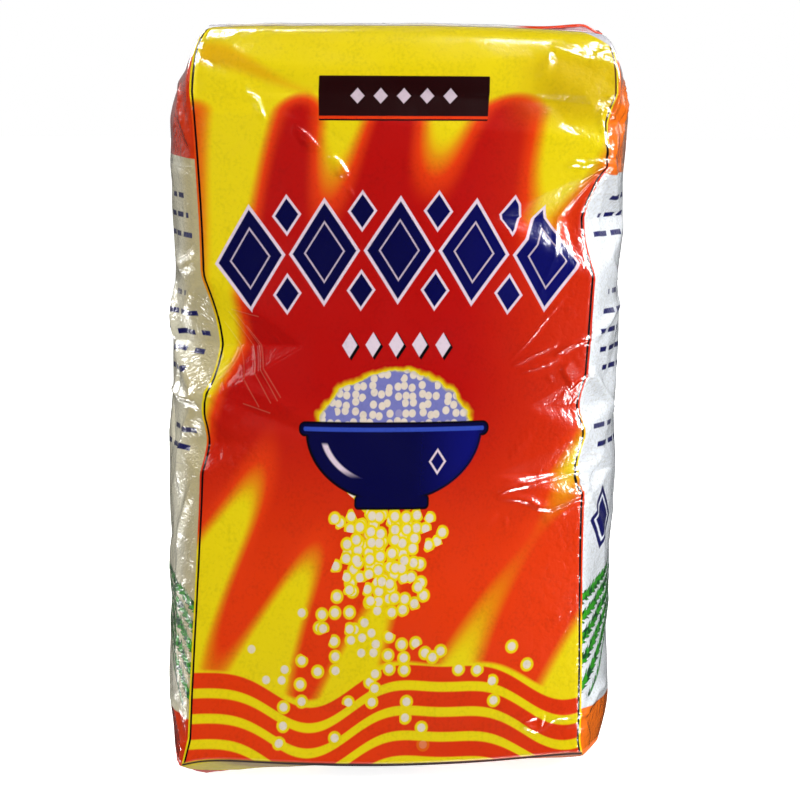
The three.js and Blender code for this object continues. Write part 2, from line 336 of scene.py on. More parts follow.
    def head_z(self, panel: Panel, along: Array, x: Array, share: Array) -> Array:
        """Height of the head's film where the outline has been drawn in by share."""
        roll = clamp(share / (self.shoulder_depth / self.edge_half_depth))
        exponent = self.shoulder_roundness
        flap = (1.0 - (1.0 - roll) ** exponent) ** (1.0 / exponent)
        rise = flap
        valley = 0.0
        if not panel.is_face:
            from_middle = np.abs(along) ** self.tuck_sharpness
            rise = mix(share, flap, from_middle)
            valley = self.tuck_drop * (1.0 - from_middle) * np.sin(np.pi * share)
        top = mix(self.shoulder_height, self.head_height, rise)
        return top - valley - self.droop_at(x) * flap

    def front_crease_at(self, along: Array) -> Array:
        """Height of the front's crease, along it from -1 to 1."""
        share = (along + 1.0) / 2.0
        level = mix(*self.front_crease, share) - self.front_crease_sag * np.sin(np.pi * share)
        corner = mix(*self.corner_crease, share)
        return mix(level, corner, np.abs(along) ** self.crease_squareness_face)

    def crease_at(self, panel: Panel, along: Array) -> Array:
        """Height at which the film turns under to the foot."""
        if panel is Panel.FRONT:
            return self.front_crease_at(along)
        if panel is Panel.BACK:
            to_corner = np.abs(along) ** self.crease_squareness_face
            return mix(self.back_crease, self.back_corner_crease, to_corner)
        side = 0 if panel is Panel.LEFT else 1
        corner = np.where(along < 0, self.corner_crease[side], self.back_corner_crease)
        to_corner = np.abs(along) ** self.crease_squareness_side
        return mix(self.side_crease[side], corner, to_corner)

    def underside_at(self, x: Array, y: Array) -> Array:
        """Height of the front's underside, 0 from where the film comes to rest."""
        along = np.clip(x / self.edge_half_width[0], -1.0, 1.0)
        rest = mix(*self.front_rest, ((along + 1.0) / 2.0) ** self.front_rest_bend)
        return self.front_crease_at(along) * clamp((rest - y) / (rest + self.edge_half_depth))

    def film(self, panel: Panel, along: Array, level: Array) -> Array:
        """The film's points.

        Args:
            panel: the panel of the bag.
            along: a row of places across the panel, from -1 to 1.
            level: a column of levels: -1 to 0 is the foot, 0 to 1 the wall, 1 to 2 the head.

        Returns:
            Points in millimetres, by level and place, leaning as the bag leans.
        """
        along = np.atleast_2d(along)
        level = np.asarray(level, float).reshape(-1, 1)
        rows = []
        foot = level[level[:, 0] < 0]
        if len(foot):
            rows.append(self._foot(panel, along, -foot))
        wall = level[(level[:, 0] >= 0) & (level[:, 0] <= 1)]
        if len(wall):
            z = mix(self.crease_at(panel, along), self.shoulder_height, wall)
            x, y = self.wall(panel, along, z)
            rows.append(np.stack([x, y, z], axis=-1))
        head = level[level[:, 0] > 1]
        if len(head):
            share = head - 1.0
            z = mix(self.shoulder_height, self.head_height, share) + 0.0 * along
            line = self.edge_half_width[1] - self.tuck_depth
            x, y = self.drawn_in(panel, along, z, share, line)
            rows.append(np.stack([x, y, self.head_z(panel, along, x, share)], axis=-1))
        points = np.concatenate(rows)
        points[..., 0] += self.lean * points[..., 2] / self.head_height
        return points

    def _foot(self, panel: Panel, along: Array, share: Array) -> Array:
        """The foot's points, from its crease at share 0 to its middle line at share 1."""
        crease = self.crease_at(panel, along)
        climb = clamp(1.0 - share / (self.foot_tuck / self.edge_half_depth))
        from_corner = 0.0 if panel.is_face else 1.0 - np.abs(along)
        turned = crease * climb ** mix(1.0, self.foot_side_roundness, from_corner)
        line = self.edge_half_width[0] - self.edge_half_depth
        x, y = self.drawn_in(panel, along, crease * climb, share, line)
        return np.stack([x, y, np.maximum(turned, self.underside_at(x, y))], axis=-1)


# ------------------------------------------------------------------ wrinkles in the film


@dataclass(frozen=True)
class Fold:
    """A fold pulled into the flat film: a ridge, or a valley where its height is below 0.

    It runs along a path. Its flank to the left of the path, as one walks along it, and the one
    to the right each have a width of their own, so one can be a steep bright facet. It rises
    and narrows over the shares of the path that fade gives for its two ends. Some folds get a
    pale line painted along them: a painted highlight on the crease.
    """

    path: tuple[Point, ...]
    height: float
    left: float
    right: float
    fade: Point = (0.3, 0.3)
    bend: float = 1.3
    end_width: float = 0.4
    painted_highlight: bool = False

    def height_at(self, across: Array, up: Array) -> Array:
        """How far the fold lifts the film.

        Args:
            across: places on the flat film.
            up: places on the flat film.

        Returns:
            The lift in millimetres.
        """
        legs = [np.subtract(b, a) for a, b in zip(self.path, self.path[1:])]
        lengths = [math.hypot(*leg) for leg in legs]
        nearest = np.full(np.broadcast(across, up).shape, np.inf)
        side = np.zeros(nearest.shape)
        share = np.zeros(nearest.shape)
        walked = 0.0
        for start, leg, length in zip(self.path, legs, lengths):
            du, dv = across - start[0], up - start[1]
            run = (du * leg[0] + dv * leg[1]) / length
            off = (dv * leg[0] - du * leg[1]) / length
            inside = np.clip(run, 0.0, length)
            distance = np.hypot(off, run - inside)
            closer = distance < nearest
            nearest = np.where(closer, distance, nearest)
            side = np.where(closer, off, side)
            share = np.where(closer, (walked + inside) / sum(lengths), share)
            walked += length
        rise, fall = self.fade
        taper = np.sqrt(clamp(share / rise) * clamp((1.0 - share) / fall))
        width = np.where(side > 0, self.left, self.right) * mix(self.end_width, 1.0, taper)
        return self.height * taper * clamp(1.0 - nearest / width) ** self.bend


@dataclass(frozen=True)
class Fan:
    """Folds that spread from a point where the film is held.

    They take their lengths in turn, as shares of the fan's reach. Each bows to one side by an
    angle in degrees. Bearings are in degrees too, 0 being to the right and 90 up.
    """

    centre: Point
    reach: float
    bearings: tuple[float, ...]
    height: float
    lengths: tuple[float, ...] = (1.0, 0.62, 0.84)
    bow: float = 9.0
    left: float = 2.4
    right: float = 1.7
    fade: Point = (0.02, 0.8)

    def towards(self, angle: float, distance: float) -> Point:
        """The point at a distance from the centre, on a bearing."""
        turn = math.radians(angle)
        x, y = self.centre
        return x + distance * math.cos(turn), y + distance * math.sin(turn)

    def folds(self) -> tuple[Fold, ...]:
        """The folds, in the order of their bearings."""
        folds = []
        for place, angle in enumerate(self.bearings):
            length = self.reach * self.lengths[place % len(self.lengths)]
            middle = self.towards(angle + self.bow, 0.5 * length)
            path = (self.centre, middle, self.towards(angle, length))
            folds.append(Fold(path, self.height, self.left, self.right, self.fade))
        return tuple(folds)


@dataclass
class Crumple:
    """The flat facets of handled film: random heights joined by straight triangles.

    Each layer of cells has a width, a height and how high its facets are, and is turned on
    from the one before it, in radians. A bend of the cells has its radians for each cell,
    where it starts, and its share of the jitter.
    """

    seed: int = 7
    grid: tuple[int, int] = (64, 96)
    cells: tuple[Triple, ...] = ((15.0, 12.0, 0.55), (7.0, 5.6, 0.22))
    first_turn: float = 0.5
    next_turn: float = 0.9
    shift: float = 400.0
    jitter: float = 0.34
    bends_across: tuple[Triple, ...] = ((1.9, 0.7, 1.0), (3.1, 0.0, 0.5))
    bends_up: tuple[Triple, ...] = ((1.6, 0.2, 1.0), (2.7, 0.0, 0.5))

    def facets(self, rng: np.random.RandomState, u: Array, v: Array) -> Array:
        """Triangles that join random heights.

        Args:
            rng: where the random numbers come from.
            u: places across, in cells.
            v: places up, in cells.

        Returns:
            Values between -1 and 1.
        """
        grid = rng.uniform(-1.0, 1.0, self.grid)
        for rate, start, share in self.bends_across:
            u = u + share * self.jitter * np.sin(rate * v + start)
        for rate, start, share in self.bends_up:
            v = v + share * self.jitter * np.sin(rate * u + start)
        iu, iv = np.floor(u).astype(int), np.floor(v).astype(int)
        fu, fv = u - iu, v - iv
        rows, columns = grid.shape
        low_left, low_right, high_left, high_right = (
            grid[(iv + dv) % rows, (iu + du) % columns] for dv in (0, 1) for du in (0, 1)
        )
        lower = low_left + fu * (low_right - low_left) + fv * (high_left - low_left)
        upper = (
            high_right
            + (1.0 - fu) * (high_left - high_right)
            + (1.0 - fv) * (low_right - high_right)
        )
        return np.where(fu + fv < 1.0, lower, upper)

    def height_at(self, across: Array, up: Array) -> Array:
        """The facets' height for a film that is crumpled all over."""
        rng = np.random.RandomState(self.seed)
        total = np.zeros(np.broadcast(across, up).shape)
        turn = self.first_turn
        for wide, tall, height in self.cells:
            across_turned = across * math.cos(turn) + up * math.sin(turn)
            up_turned = up * math.cos(turn) - across * math.sin(turn)
            u, v = (across_turned + self.shift) / wide, (up_turned + self.shift) / tall
            total += height * self.facets(rng, u, v)
            turn += self.next_turn
        return total


@dataclass
class Wrinkles:
    """Every wrinkle of the film, placed on the flat film."""

    shoulder: tuple[Fold, ...] = (
        # the rounded fold between the head and the front, and the hollow under it
        Fold(
            (
                (-49.0, 177.4), (-40.3, 171.4), (-30.5, 168.4), (-8.0, 168.8),
                (16.0, 169.6), (31.0, 171.4),
            ),
            0.5, 5.0, 4.4, (0.06, 0.12), 1.6,
        ),
        Fold(((-50.0, 172.1), (-33.4, 165.2), (-20.0, 163.0)), -1.1, 3.4, 4.0, (0.1, 0.5), 1.5),
        # glints that run from the top left corner to the middle
        Fold(((-38.9, 163.1), (-35.6, 160.8), (-33.8, 155.6)), 0.76, 1.15, 2.0),
        Fold(((-26.8, 154.6), (-23.6, 152.4), (-20.4, 149.2)), 0.80, 1.2, 2.6),
        Fold(((-25.6, 152.2), (-22.6, 150.2)), 0.50, 0.8, 1.2),
        Fold(((-18.2, 148.1), (-15.8, 146.2), (-13.2, 143.0)), 0.98, 1.45, 2.6),
        Fold(((-17.0, 145.2), (-14.8, 142.8)), 0.58, 0.9, 1.2),
        Fold(((-13.6, 140.8), (-12.0, 138.2)), 0.52, 0.85, 1.2),
        Fold(((-29.0, 158.4), (-20.0, 154.6), (-13.0, 149.6)), -0.3, 1.8, 1.8),
        # the facets between the head's right corner and the pinch
        Fold(((35.9, 172.4), (33.9, 169.2), (32.0, 165.8)), 0.8, 2.4, 2.0),
        Fold(((33.4, 168.4), (43.6, 162.8), (50.6, 153.6)), 1.0, 6.5, 5.0, (0.2, 0.3), 1.3),
        Fold(((27.0, 165.0), (37.0, 159.4), (44.8, 151.2)), -0.5, 4.6, 5.0, (0.4, 0.4), 1.4),
        Fold(((40.0, 176.2), (44.2, 174.8)), 0.42, 0.9, 1.3),
        Fold(((44.8, 172.2), (50.4, 174.8)), 0.36, 0.8, 1.1),
        Fold(((46.4, 173.2), (50.4, 171.0)), 0.36, 0.8, 1.2),
        Fold(((36.0, 174.8), (46.0, 171.0), (51.6, 171.6)), 0.5, 2.2, 2.8),
    )
    right_pinch: tuple[Fold, ...] = (
        # a star on the upright edge
        Fold(((48.5, 158.9), (50.2, 155.4), (51.3, 152.2)), 0.86, 1.25, 1.4, (0.1, 0.25)),
        Fold(((48.3, 158.9), (52.4, 157.6), (57.0, 155.9)), 0.56, 0.9, 1.0, (0.05, 0.3)),
        Fold(((57.0, 155.9), (54.6, 154.0), (52.2, 152.0)), 0.72, 1.0, 1.2, (0.1, 0.2)),
        Fold(((49.0, 163.0), (51.2, 160.4)), 0.30, 0.8, 0.9),
        # the streaks that meet at the pinch
        Fold(
            ((40.8, 145.5), (43.4, 146.2), (45.6, 145.8), (48.4, 146.3), (51.6, 146.0)),
            0.88, 1.15, 1.5, (0.25, 0.12),
        ),
        Fold(((46.2, 141.9), (48.6, 144.3), (51.6, 145.8)), 0.88, 1.15, 1.4, (0.3, 0.12)),
        Fold(
            ((51.4, 144.9), (45.3, 135.3), (41.0, 125.0), (38.1, 117.3), (36.8, 112.8)),
            0.36, 0.75, 0.7, (0.05, 0.6),
        ),
        Fold(((44.4, 114.6), (39.8, 109.9), (36.1, 105.3), (30.4, 99.7)), 0.34, 0.7, 0.9),
        Fold(((50.4, 144.0), (47.2, 133.0), (47.6, 124.0)), -0.3, 2.8, 2.8, (0.1, 0.6), 1.4),
        Fold(((52.3, 146.6), (60.0, 138.4), (72.0, 131.0)), 1.2, 3.0, 2.4, (0.04, 0.6)),
        Fold(((52.4, 147.4), (58.0, 156.6), (61.0, 168.0)), 1.0, 2.2, 2.6, (0.04, 0.5)),
        Fold(((62.0, 171.0), (65.0, 160.0), (60.0, 149.6)), 0.8, 1.8, 1.8),
        Fold(((52.6, 145.0), (57.0, 134.0), (56.0, 121.0)), 0.5, 1.6, 1.6, (0.05, 0.6)),
    )
    right_middle: tuple[Fold, ...] = (
        Fold(((31.0, 98.4), (36.8, 101.2), (43.4, 103.4)), 0.68, 1.0, 1.4),
        Fold(((33.2, 97.0), (39.0, 98.4), (43.8, 99.8)), 0.56, 0.8, 1.2),
        Fold(((42.4, 100.8), (47.0, 103.2), (52.0, 104.2)), 0.80, 1.2, 1.5, (0.3, 0.1)),
        Fold(((44.4, 97.4), (46.2, 95.0), (48.2, 92.4)), 0.72, 3.4, 1.0, (0.06, 0.06), 1.0),
        Fold(((40.6, 96.0), (42.6, 94.0)), 0.30, 0.8, 0.9),
        Fold(((45.9, 91.3), (46.9, 90.4)), 0.30, 0.7, 0.7),
        Fold(((31.0, 77.1), (34.6, 80.0), (38.0, 82.8)), 0.54, 0.8, 1.0),
        Fold(((52.3, 104.4), (62.0, 109.6), (74.0, 111.6)), 1.0, 3.0, 2.4, (0.04, 0.6)),
        Fold(((52.3, 96.6), (61.0, 89.6), (70.0, 84.0)), 1.1, 2.8, 2.4, (0.04, 0.6)),
        Fold(((52.6, 124.0), (60.0, 121.6), (68.0, 116.0)), 0.7, 2.6, 2.2),
    )
    right_tuck: tuple[Fold, ...] = (
        # the two lips of a lens-shaped tuck, and what it pulls with it
        Fold(
            ((28.3, 67.2), (29.2, 68.4), (31.2, 69.3), (35.0, 69.9), (43.0, 70.9), (55.0, 72.8)),
            0.75, 1.5, 1.2, (0.10, 0.02), 1.1,
        ),
        Fold(
            (
                (28.3, 67.0), (33.2, 66.9), (37.0, 66.0), (39.6, 64.4), (42.6, 63.9),
                (47.0, 65.3), (55.0, 68.4),
            ),
            0.92, 1.85, 1.2, (0.5, 0.02), 1.1,
        ),
        Fold(((36.0, 62.6), (44.0, 62.0), (50.0, 64.4)), 0.30, 0.8, 0.8),
        Fold(((40.4, 63.4), (43.4, 60.0), (45.6, 56.4)), 0.24, 0.6, 0.7, (0.05, 0.7)),
        Fold(((23.6, 60.6), (26.0, 61.8), (28.4, 63.6)), 0.42, 0.9, 1.3),
        Fold(((30.2, 61.8), (31.2, 61.2)), 0.30, 0.7, 0.7),
        Fold(((52.6, 68.6), (56.0, 72.0), (61.0, 77.0)), 1.5, 3.4, 1.8, (0.06, 0.3), 1.05),
        Fold(((52.6, 66.0), (60.0, 58.0), (66.0, 46.0)), 0.8, 2.6, 2.2, (0.04, 0.6)),
    )
    right_foot: tuple[Fold, ...] = (
        Fold(((35.6, 12.0), (38.4, 13.2), (41.6, 14.0)), 0.55, 1.1, 1.0),
        Fold(((35.6, 11.8), (38.0, 11.0), (40.8, 9.6)), 0.55, 1.1, 1.2),
        Fold(((41.7, 14.0), (40.9, 9.8)), 0.45, 1.0, 1.0),
        Fold(((41.6, 9.8), (43.6, 12.2), (45.6, 12.9), (50.6, 12.8)), 0.46, 0.9, 1.3),
        Fold(((50.0, 13.1), (56.0, 12.9)), 0.50, 0.9, 1.3),
        Fold(((47.2, 10.4), (51.8, 11.4)), 0.36, 0.8, 1.0),
        Fold(((43.0, 36.8), (46.2, 38.4)), 0.36, 0.8, 1.0),
        Fold(((53.0, 12.6), (60.0, 17.0), (70.0, 17.6)), 0.8, 2.4, 2.4),
        Fold(((53.0, 10.6), (58.0, 4.0)), 0.8, 1.8, 1.8, (0.05, 0.4)),
    )
    left_dent: tuple[Fold, ...] = (
        # thin lines that run down to the right from the dent
        # the folds flagged True at the end also get a pale painted highlight along them
        Fold(((-47.0, 111.0), (-41.4, 103.0), (-33.2, 89.8)), 0.24, 0.6, 0.7, painted_highlight=True),
        Fold(((-44.8, 110.6), (-38.6, 101.4), (-31.4, 90.4)), 0.26, 0.6, 0.7, painted_highlight=True),
        Fold(((-42.4, 107.6), (-36.0, 97.6), (-30.6, 91.2)), 0.20, 0.5, 0.7, painted_highlight=True),
        Fold(((-40.4, 104.4), (-32.6, 92.8)), 0.20, 0.5, 0.6),
        Fold(((-49.4, 108.6), (-44.6, 100.0), (-36.4, 88.8)), 0.20, 0.6, 0.7, painted_highlight=True),
        Fold(((-34.4, 106.0), (-31.6, 103.0)), 0.24, 0.6, 0.7),
        Fold(((-45.8, 111.6), (-41.4, 111.2), (-37.2, 110.0)), 0.34, 0.7, 0.9, painted_highlight=True),
        Fold(((-43.0, 109.8), (-38.6, 109.0)), 0.30, 0.6, 0.8),
        Fold(((-40.6, 89.4), (-37.0, 88.8), (-33.4, 87.4)), 0.34, 0.7, 0.9, painted_highlight=True),
        Fold(((-50.4, 91.6), (-47.2, 89.4)), 0.42, 0.9, 1.0),
        Fold(((-47.8, 94.6), (-45.0, 91.4)), 0.42, 0.9, 1.0),
        Fold(((-46.2, 88.4), (-43.2, 86.8)), 0.40, 0.8, 1.0),
        Fold(((-48.6, 87.2), (-46.8, 84.4)), 0.40, 0.8, 1.0),
        Fold(((-42.4, 89.0), (-33.0, 86.0), (-20.6, 82.2)), -0.6, 2.4, 3.0, (0.2, 0.6), 1.5),
        Fold(((-42.0, 93.4), (-32.0, 90.4), (-22.0, 85.4)), 0.4, 2.6, 2.6, (0.2, 0.6), 1.5),
        Fold(((-49.6, 82.0), (-46.4, 76.0)), -0.3, 0.8, 1.0),
        Fold(((-47.4, 81.8), (-44.2, 76.4)), -0.3, 0.8, 1.0),
        Fold(((-45.4, 80.4), (-42.2, 74.6)), -0.25, 0.8, 1.0),
        Fold(((-52.0, 91.0), (-46.0, 98.0), (-44.0, 104.0)), 0.5, 2.0, 2.4, (0.05, 0.6), 1.4),
    )
    left_side: tuple[Fold, ...] = (
        Fold(((-70.0, 117.0), (-63.6, 101.6), (-52.5, 90.6)), 1.7, 3.4, 4.4, (0.3, 0.05)),
        Fold(((-52.3, 90.4), (-60.0, 90.2), (-74.0, 90.8)), 1.5, 2.4, 2.6, (0.03, 0.5)),
        Fold(((-64.4, 98.6), (-67.4, 93.0), (-60.0, 88.0)), -0.9, 2.0, 2.0),
        Fold(((-70.4, 87.4), (-68.6, 77.6)), -1.0, 2.0, 2.0),
        Fold(((-56.0, 88.0), (-62.4, 76.0), (-61.0, 66.0)), 1.0, 2.6, 2.4),
        Fold(((-52.8, 123.6), (-60.0, 121.0), (-72.0, 124.0)), 1.1, 3.0, 2.6, (0.05, 0.5)),
        Fold(((-53.0, 118.0), (-58.0, 112.0), (-60.0, 104.0)), 0.7, 2.2, 2.2, (0.1, 0.5)),
        Fold(((-54.0, 71.0), (-66.0, 52.0)), 0.7, 2.6, 2.6),
        Fold(((-64.0, 52.0), (-60.0, 22.0)), 0.6, 3.4, 3.4),
        Fold(((-53.0, 7.0), (-60.0, 14.0), (-70.0, 16.0)), 0.9, 2.2, 2.2, (0.05, 0.5)),
        Fold(((-53.4, 6.0), (-58.0, 3.0)), 0.6, 1.2, 1.2),
        Fold(((-54.0, 150.0), (-60.0, 158.0), (-62.0, 168.0)), 0.9, 2.6, 2.6),
        Fold(((-51.0, 5.2), (-48.6, 4.4)), 0.40, 0.8, 0.9),
        Fold(((-47.8, 6.6), (-46.2, 5.6)), 0.40, 0.8, 0.9),
    )
    behind: tuple[Fold, ...] = (
        Fan((-111.0, 126.0), 22.0, (-35.0, 20.0, 62.0, 200.0, 152.0, 238.0), 1.2).folds()
        + Fan((-111.0, 52.0), 19.0, (-24.0, 34.0, 152.0, 205.0), 1.0).folds()
        + Fan((111.0, 112.0), 24.0, (215.0, 150.0, 108.0, -30.0, 22.0), 1.2).folds()
        + Fan((111.0, 60.0), 18.0, (158.0, 214.0, 24.0, -28.0), 1.0).folds()
        + (
            Fold(
                ((-156.0, 164.6), (-136.0, 168.2), (-113.0, 169.8)),
                0.9, 4.4, 3.4, (0.1, 0.2), 1.5,
            ),
            Fold(((113.0, 170.4), (138.0, 168.4), (156.0, 164.6)), 0.9, 4.4, 3.4, (0.2, 0.1), 1.5),
            Fold(
                ((-148.0, 112.0), (-136.0, 102.0), (-120.0, 96.0)),
                0.5, 2.4, 2.4, (0.4, 0.4), 1.4,
            ),
            Fold(((122.0, 88.0), (138.0, 84.0), (150.0, 74.0)), 0.5, 2.4, 2.4, (0.4, 0.4), 1.4),
            Fold(((-150.0, 40.0), (-136.0, 34.0), (-118.0, 36.0)), 0.4, 2.0, 2.4, (0.4, 0.4), 1.4),
            Fold(((118.0, 30.0), (134.0, 26.0), (150.0, 32.0)), 0.4, 2.0, 2.4, (0.4, 0.4), 1.4),
        )
    )
    crumple: Crumple = field(default_factory=Crumple)
    crumple_face: float = 0.13
    crumple_side: float = 1.0
    crumple_dent: float = 0.3
    crumple_head: float = 0.25
    crumple_head_front: float = 0.2
    side_from: Point = (50.0, 62.0)
    side_to: Point = (104.0, 118.0)
    head_from: Point = (163.0, 174.0)
    held_at: tuple[Point, ...] = (
        (51.8, 147.0),
        (52.0, 97.0),
        (50.0, 69.0),
        (-51.0, 100.0),
        (-51.0, 172.0),
        (51.0, 172.0),
        (111.0, 112.0),
        (-111.0, 126.0),
    )
    held_reach: float = 22.0

    def folds(self) -> list[Fold]:
        """Every fold, group by group."""
        groups = (
            self.shoulder,
            self.right_pinch,
            self.right_middle,
            self.right_tuck,
            self.right_foot,
            self.left_dent,
            self.left_side,
            self.behind,
        )
        return [fold for group in groups for fold in group]

    def painted_highlight_creases(self) -> tuple[Crease, ...]:
        """The ends of every fold that gets a painted highlight along it."""
        return tuple((fold.path[0], fold.path[-1]) for fold in self.folds() if fold.painted_highlight)

    def height_at(self, across: Array, up: Array) -> Array:
        """How far all the wrinkles lift the film.

        Args:
            across: a row of places on the flat film.
            up: a column of places on the flat film.

        Returns:
            The lift in millimetres, by up and across.
        """
        total = np.zeros(np.broadcast(across, up).shape)
        for fold in self.folds():
            total += fold.height_at(across, up)
        return total + self.crumple_share(across, up) * self.crumple.height_at(across, up)

    def crumple_share(self, across: Array, up: Array) -> Array:
        """How crumpled the film is, place by place."""
        from_middle = np.abs(across)
        on_side = ease(*self.side_from, from_middle) * (1.0 - ease(*self.side_to, from_middle))
        share = mix(self.crumple_face, self.crumple_side, on_side)
        head = self.crumple_head * ease(*self.head_from, up)
        share = share + head * mix(self.crumple_head_front, 1.0, on_side)
        for u, v in self.held_at:
            near = np.hypot(across - u, up - v)
            share = share + self.crumple_dent * clamp(1.0 - near / self.held_reach)
        return share


# ------------------------------------------------------------------ the film as meshes


@dataclass
class Ring:
    """A stretch of stations round the bag: where each lies and its place on the flat film."""

    points: Array
    across: Array


@dataclass
class MeshMaker:
    """Turns grids of points into Blender meshes that know their place on the flat film.

    Points that are nearer than merge, in millimetres, become one, and a face that is flatter
    than a share of that goes.
    """

    merge: float = 0.02
    flat_share: float = 0.2

    def from_grid(
        self, name: str, points: Array, across: Array, up: Array
    ) -> bpy.types.Object:
        """Makes an open grid, with its faces pointing out.

        Args:
            name: the piece's name.
            points: millimetre points by level and station.
            across: each point's place across the flat film.
            up: each point's place up the flat film.

        Returns:
            The new object, in metres.
        """
        levels, stations = points.shape[:2]
        index = np.arange(levels * stations).reshape(levels, stations)
        quads = np.stack(
            [index[:-1, :-1], index[:-1, 1:], index[1:, 1:], index[1:, :-1]], axis=-1
        ).reshape(-1, 4)
        mesh = bpy.data.meshes.new(name)
        mesh.from_pydata((points.reshape(-1, 3) * MM).tolist(), [], quads.tolist())
        flat = np.stack(np.broadcast_arrays(across, up), axis=-1).reshape(-1, 2)
        layer = mesh.uv_layers.new(name=FLAT_MAP)
        layer.data.foreach_set("uv", flat[quads.reshape(-1)].astype(np.float32).ravel())
        self._merge(mesh)
        mesh.polygons.foreach_set("use_smooth", [True] * len(mesh.polygons))
        mesh.update()
        piece = bpy.data.objects.new(name, mesh)
        bpy.context.scene.collection.objects.link(piece)
        return piece

    def _merge(self, mesh: bpy.types.Mesh) -> None:
        """Joins the points that lie together, and drops the faces that this leaves flat."""
        work = bmesh.new()
        work.from_mesh(mesh)
        flat = self.flat_share * self.merge * MM
        bmesh.ops.remove_doubles(work, verts=work.verts, dist=self.merge * MM)
        bmesh.ops.dissolve_degenerate(work, dist=flat, edges=work.edges)
        bmesh.ops.recalc_face_normals(work, faces=work.faces)
        work.to_mesh(mesh)
        work.free()


def pace(
    start: float,
    end: float,
    steps: int,
    busy: Sequence[Point],
    gain: float,
    soft: float = 2.0,
    samples: int = 1001,
) -> Array:
    """Shares of the way from one place to another, closer together over busy stretches.

    Args:
        start: the first place.
        end: the last place.
        steps: how many steps there are between them.
        busy: stretches, each with its lower and upper end.
        gain: how much closer the steps are there.
        soft: how far to either side of its ends a busy stretch fades.
        samples: how many places the density is summed over.

    Returns:
        The shares, from 0 to 1.
    """
    way = np.linspace(0.0, 1.0, samples)
    place = mix(start, end, way)
    density = np.ones(way.shape)
    for low, high in busy:
        begun = ease(low - soft, low + soft, place)
        density += gain * (begun - ease(high - soft, high + soft, place))
    walked = np.cumsum(density)
    return np.interp(np.linspace(walked[0], walked[-1], steps + 1), walked, way)


def normals_of(points: Array) -> Array:
    """Unit normals of a grid of points, to the outside of a ring that runs against the clock.

    Args:
        points: points by level and station.

    Returns:
        One unit vector for each point.
    """
    by_station = np.gradient(points, axis=1)
    by_level = np.gradient(points, axis=0)
    normal = np.cross(by_station, by_level)
    length = np.linalg.norm(normal, axis=-1, keepdims=True)
    return normal / np.maximum(length, 1e-9)


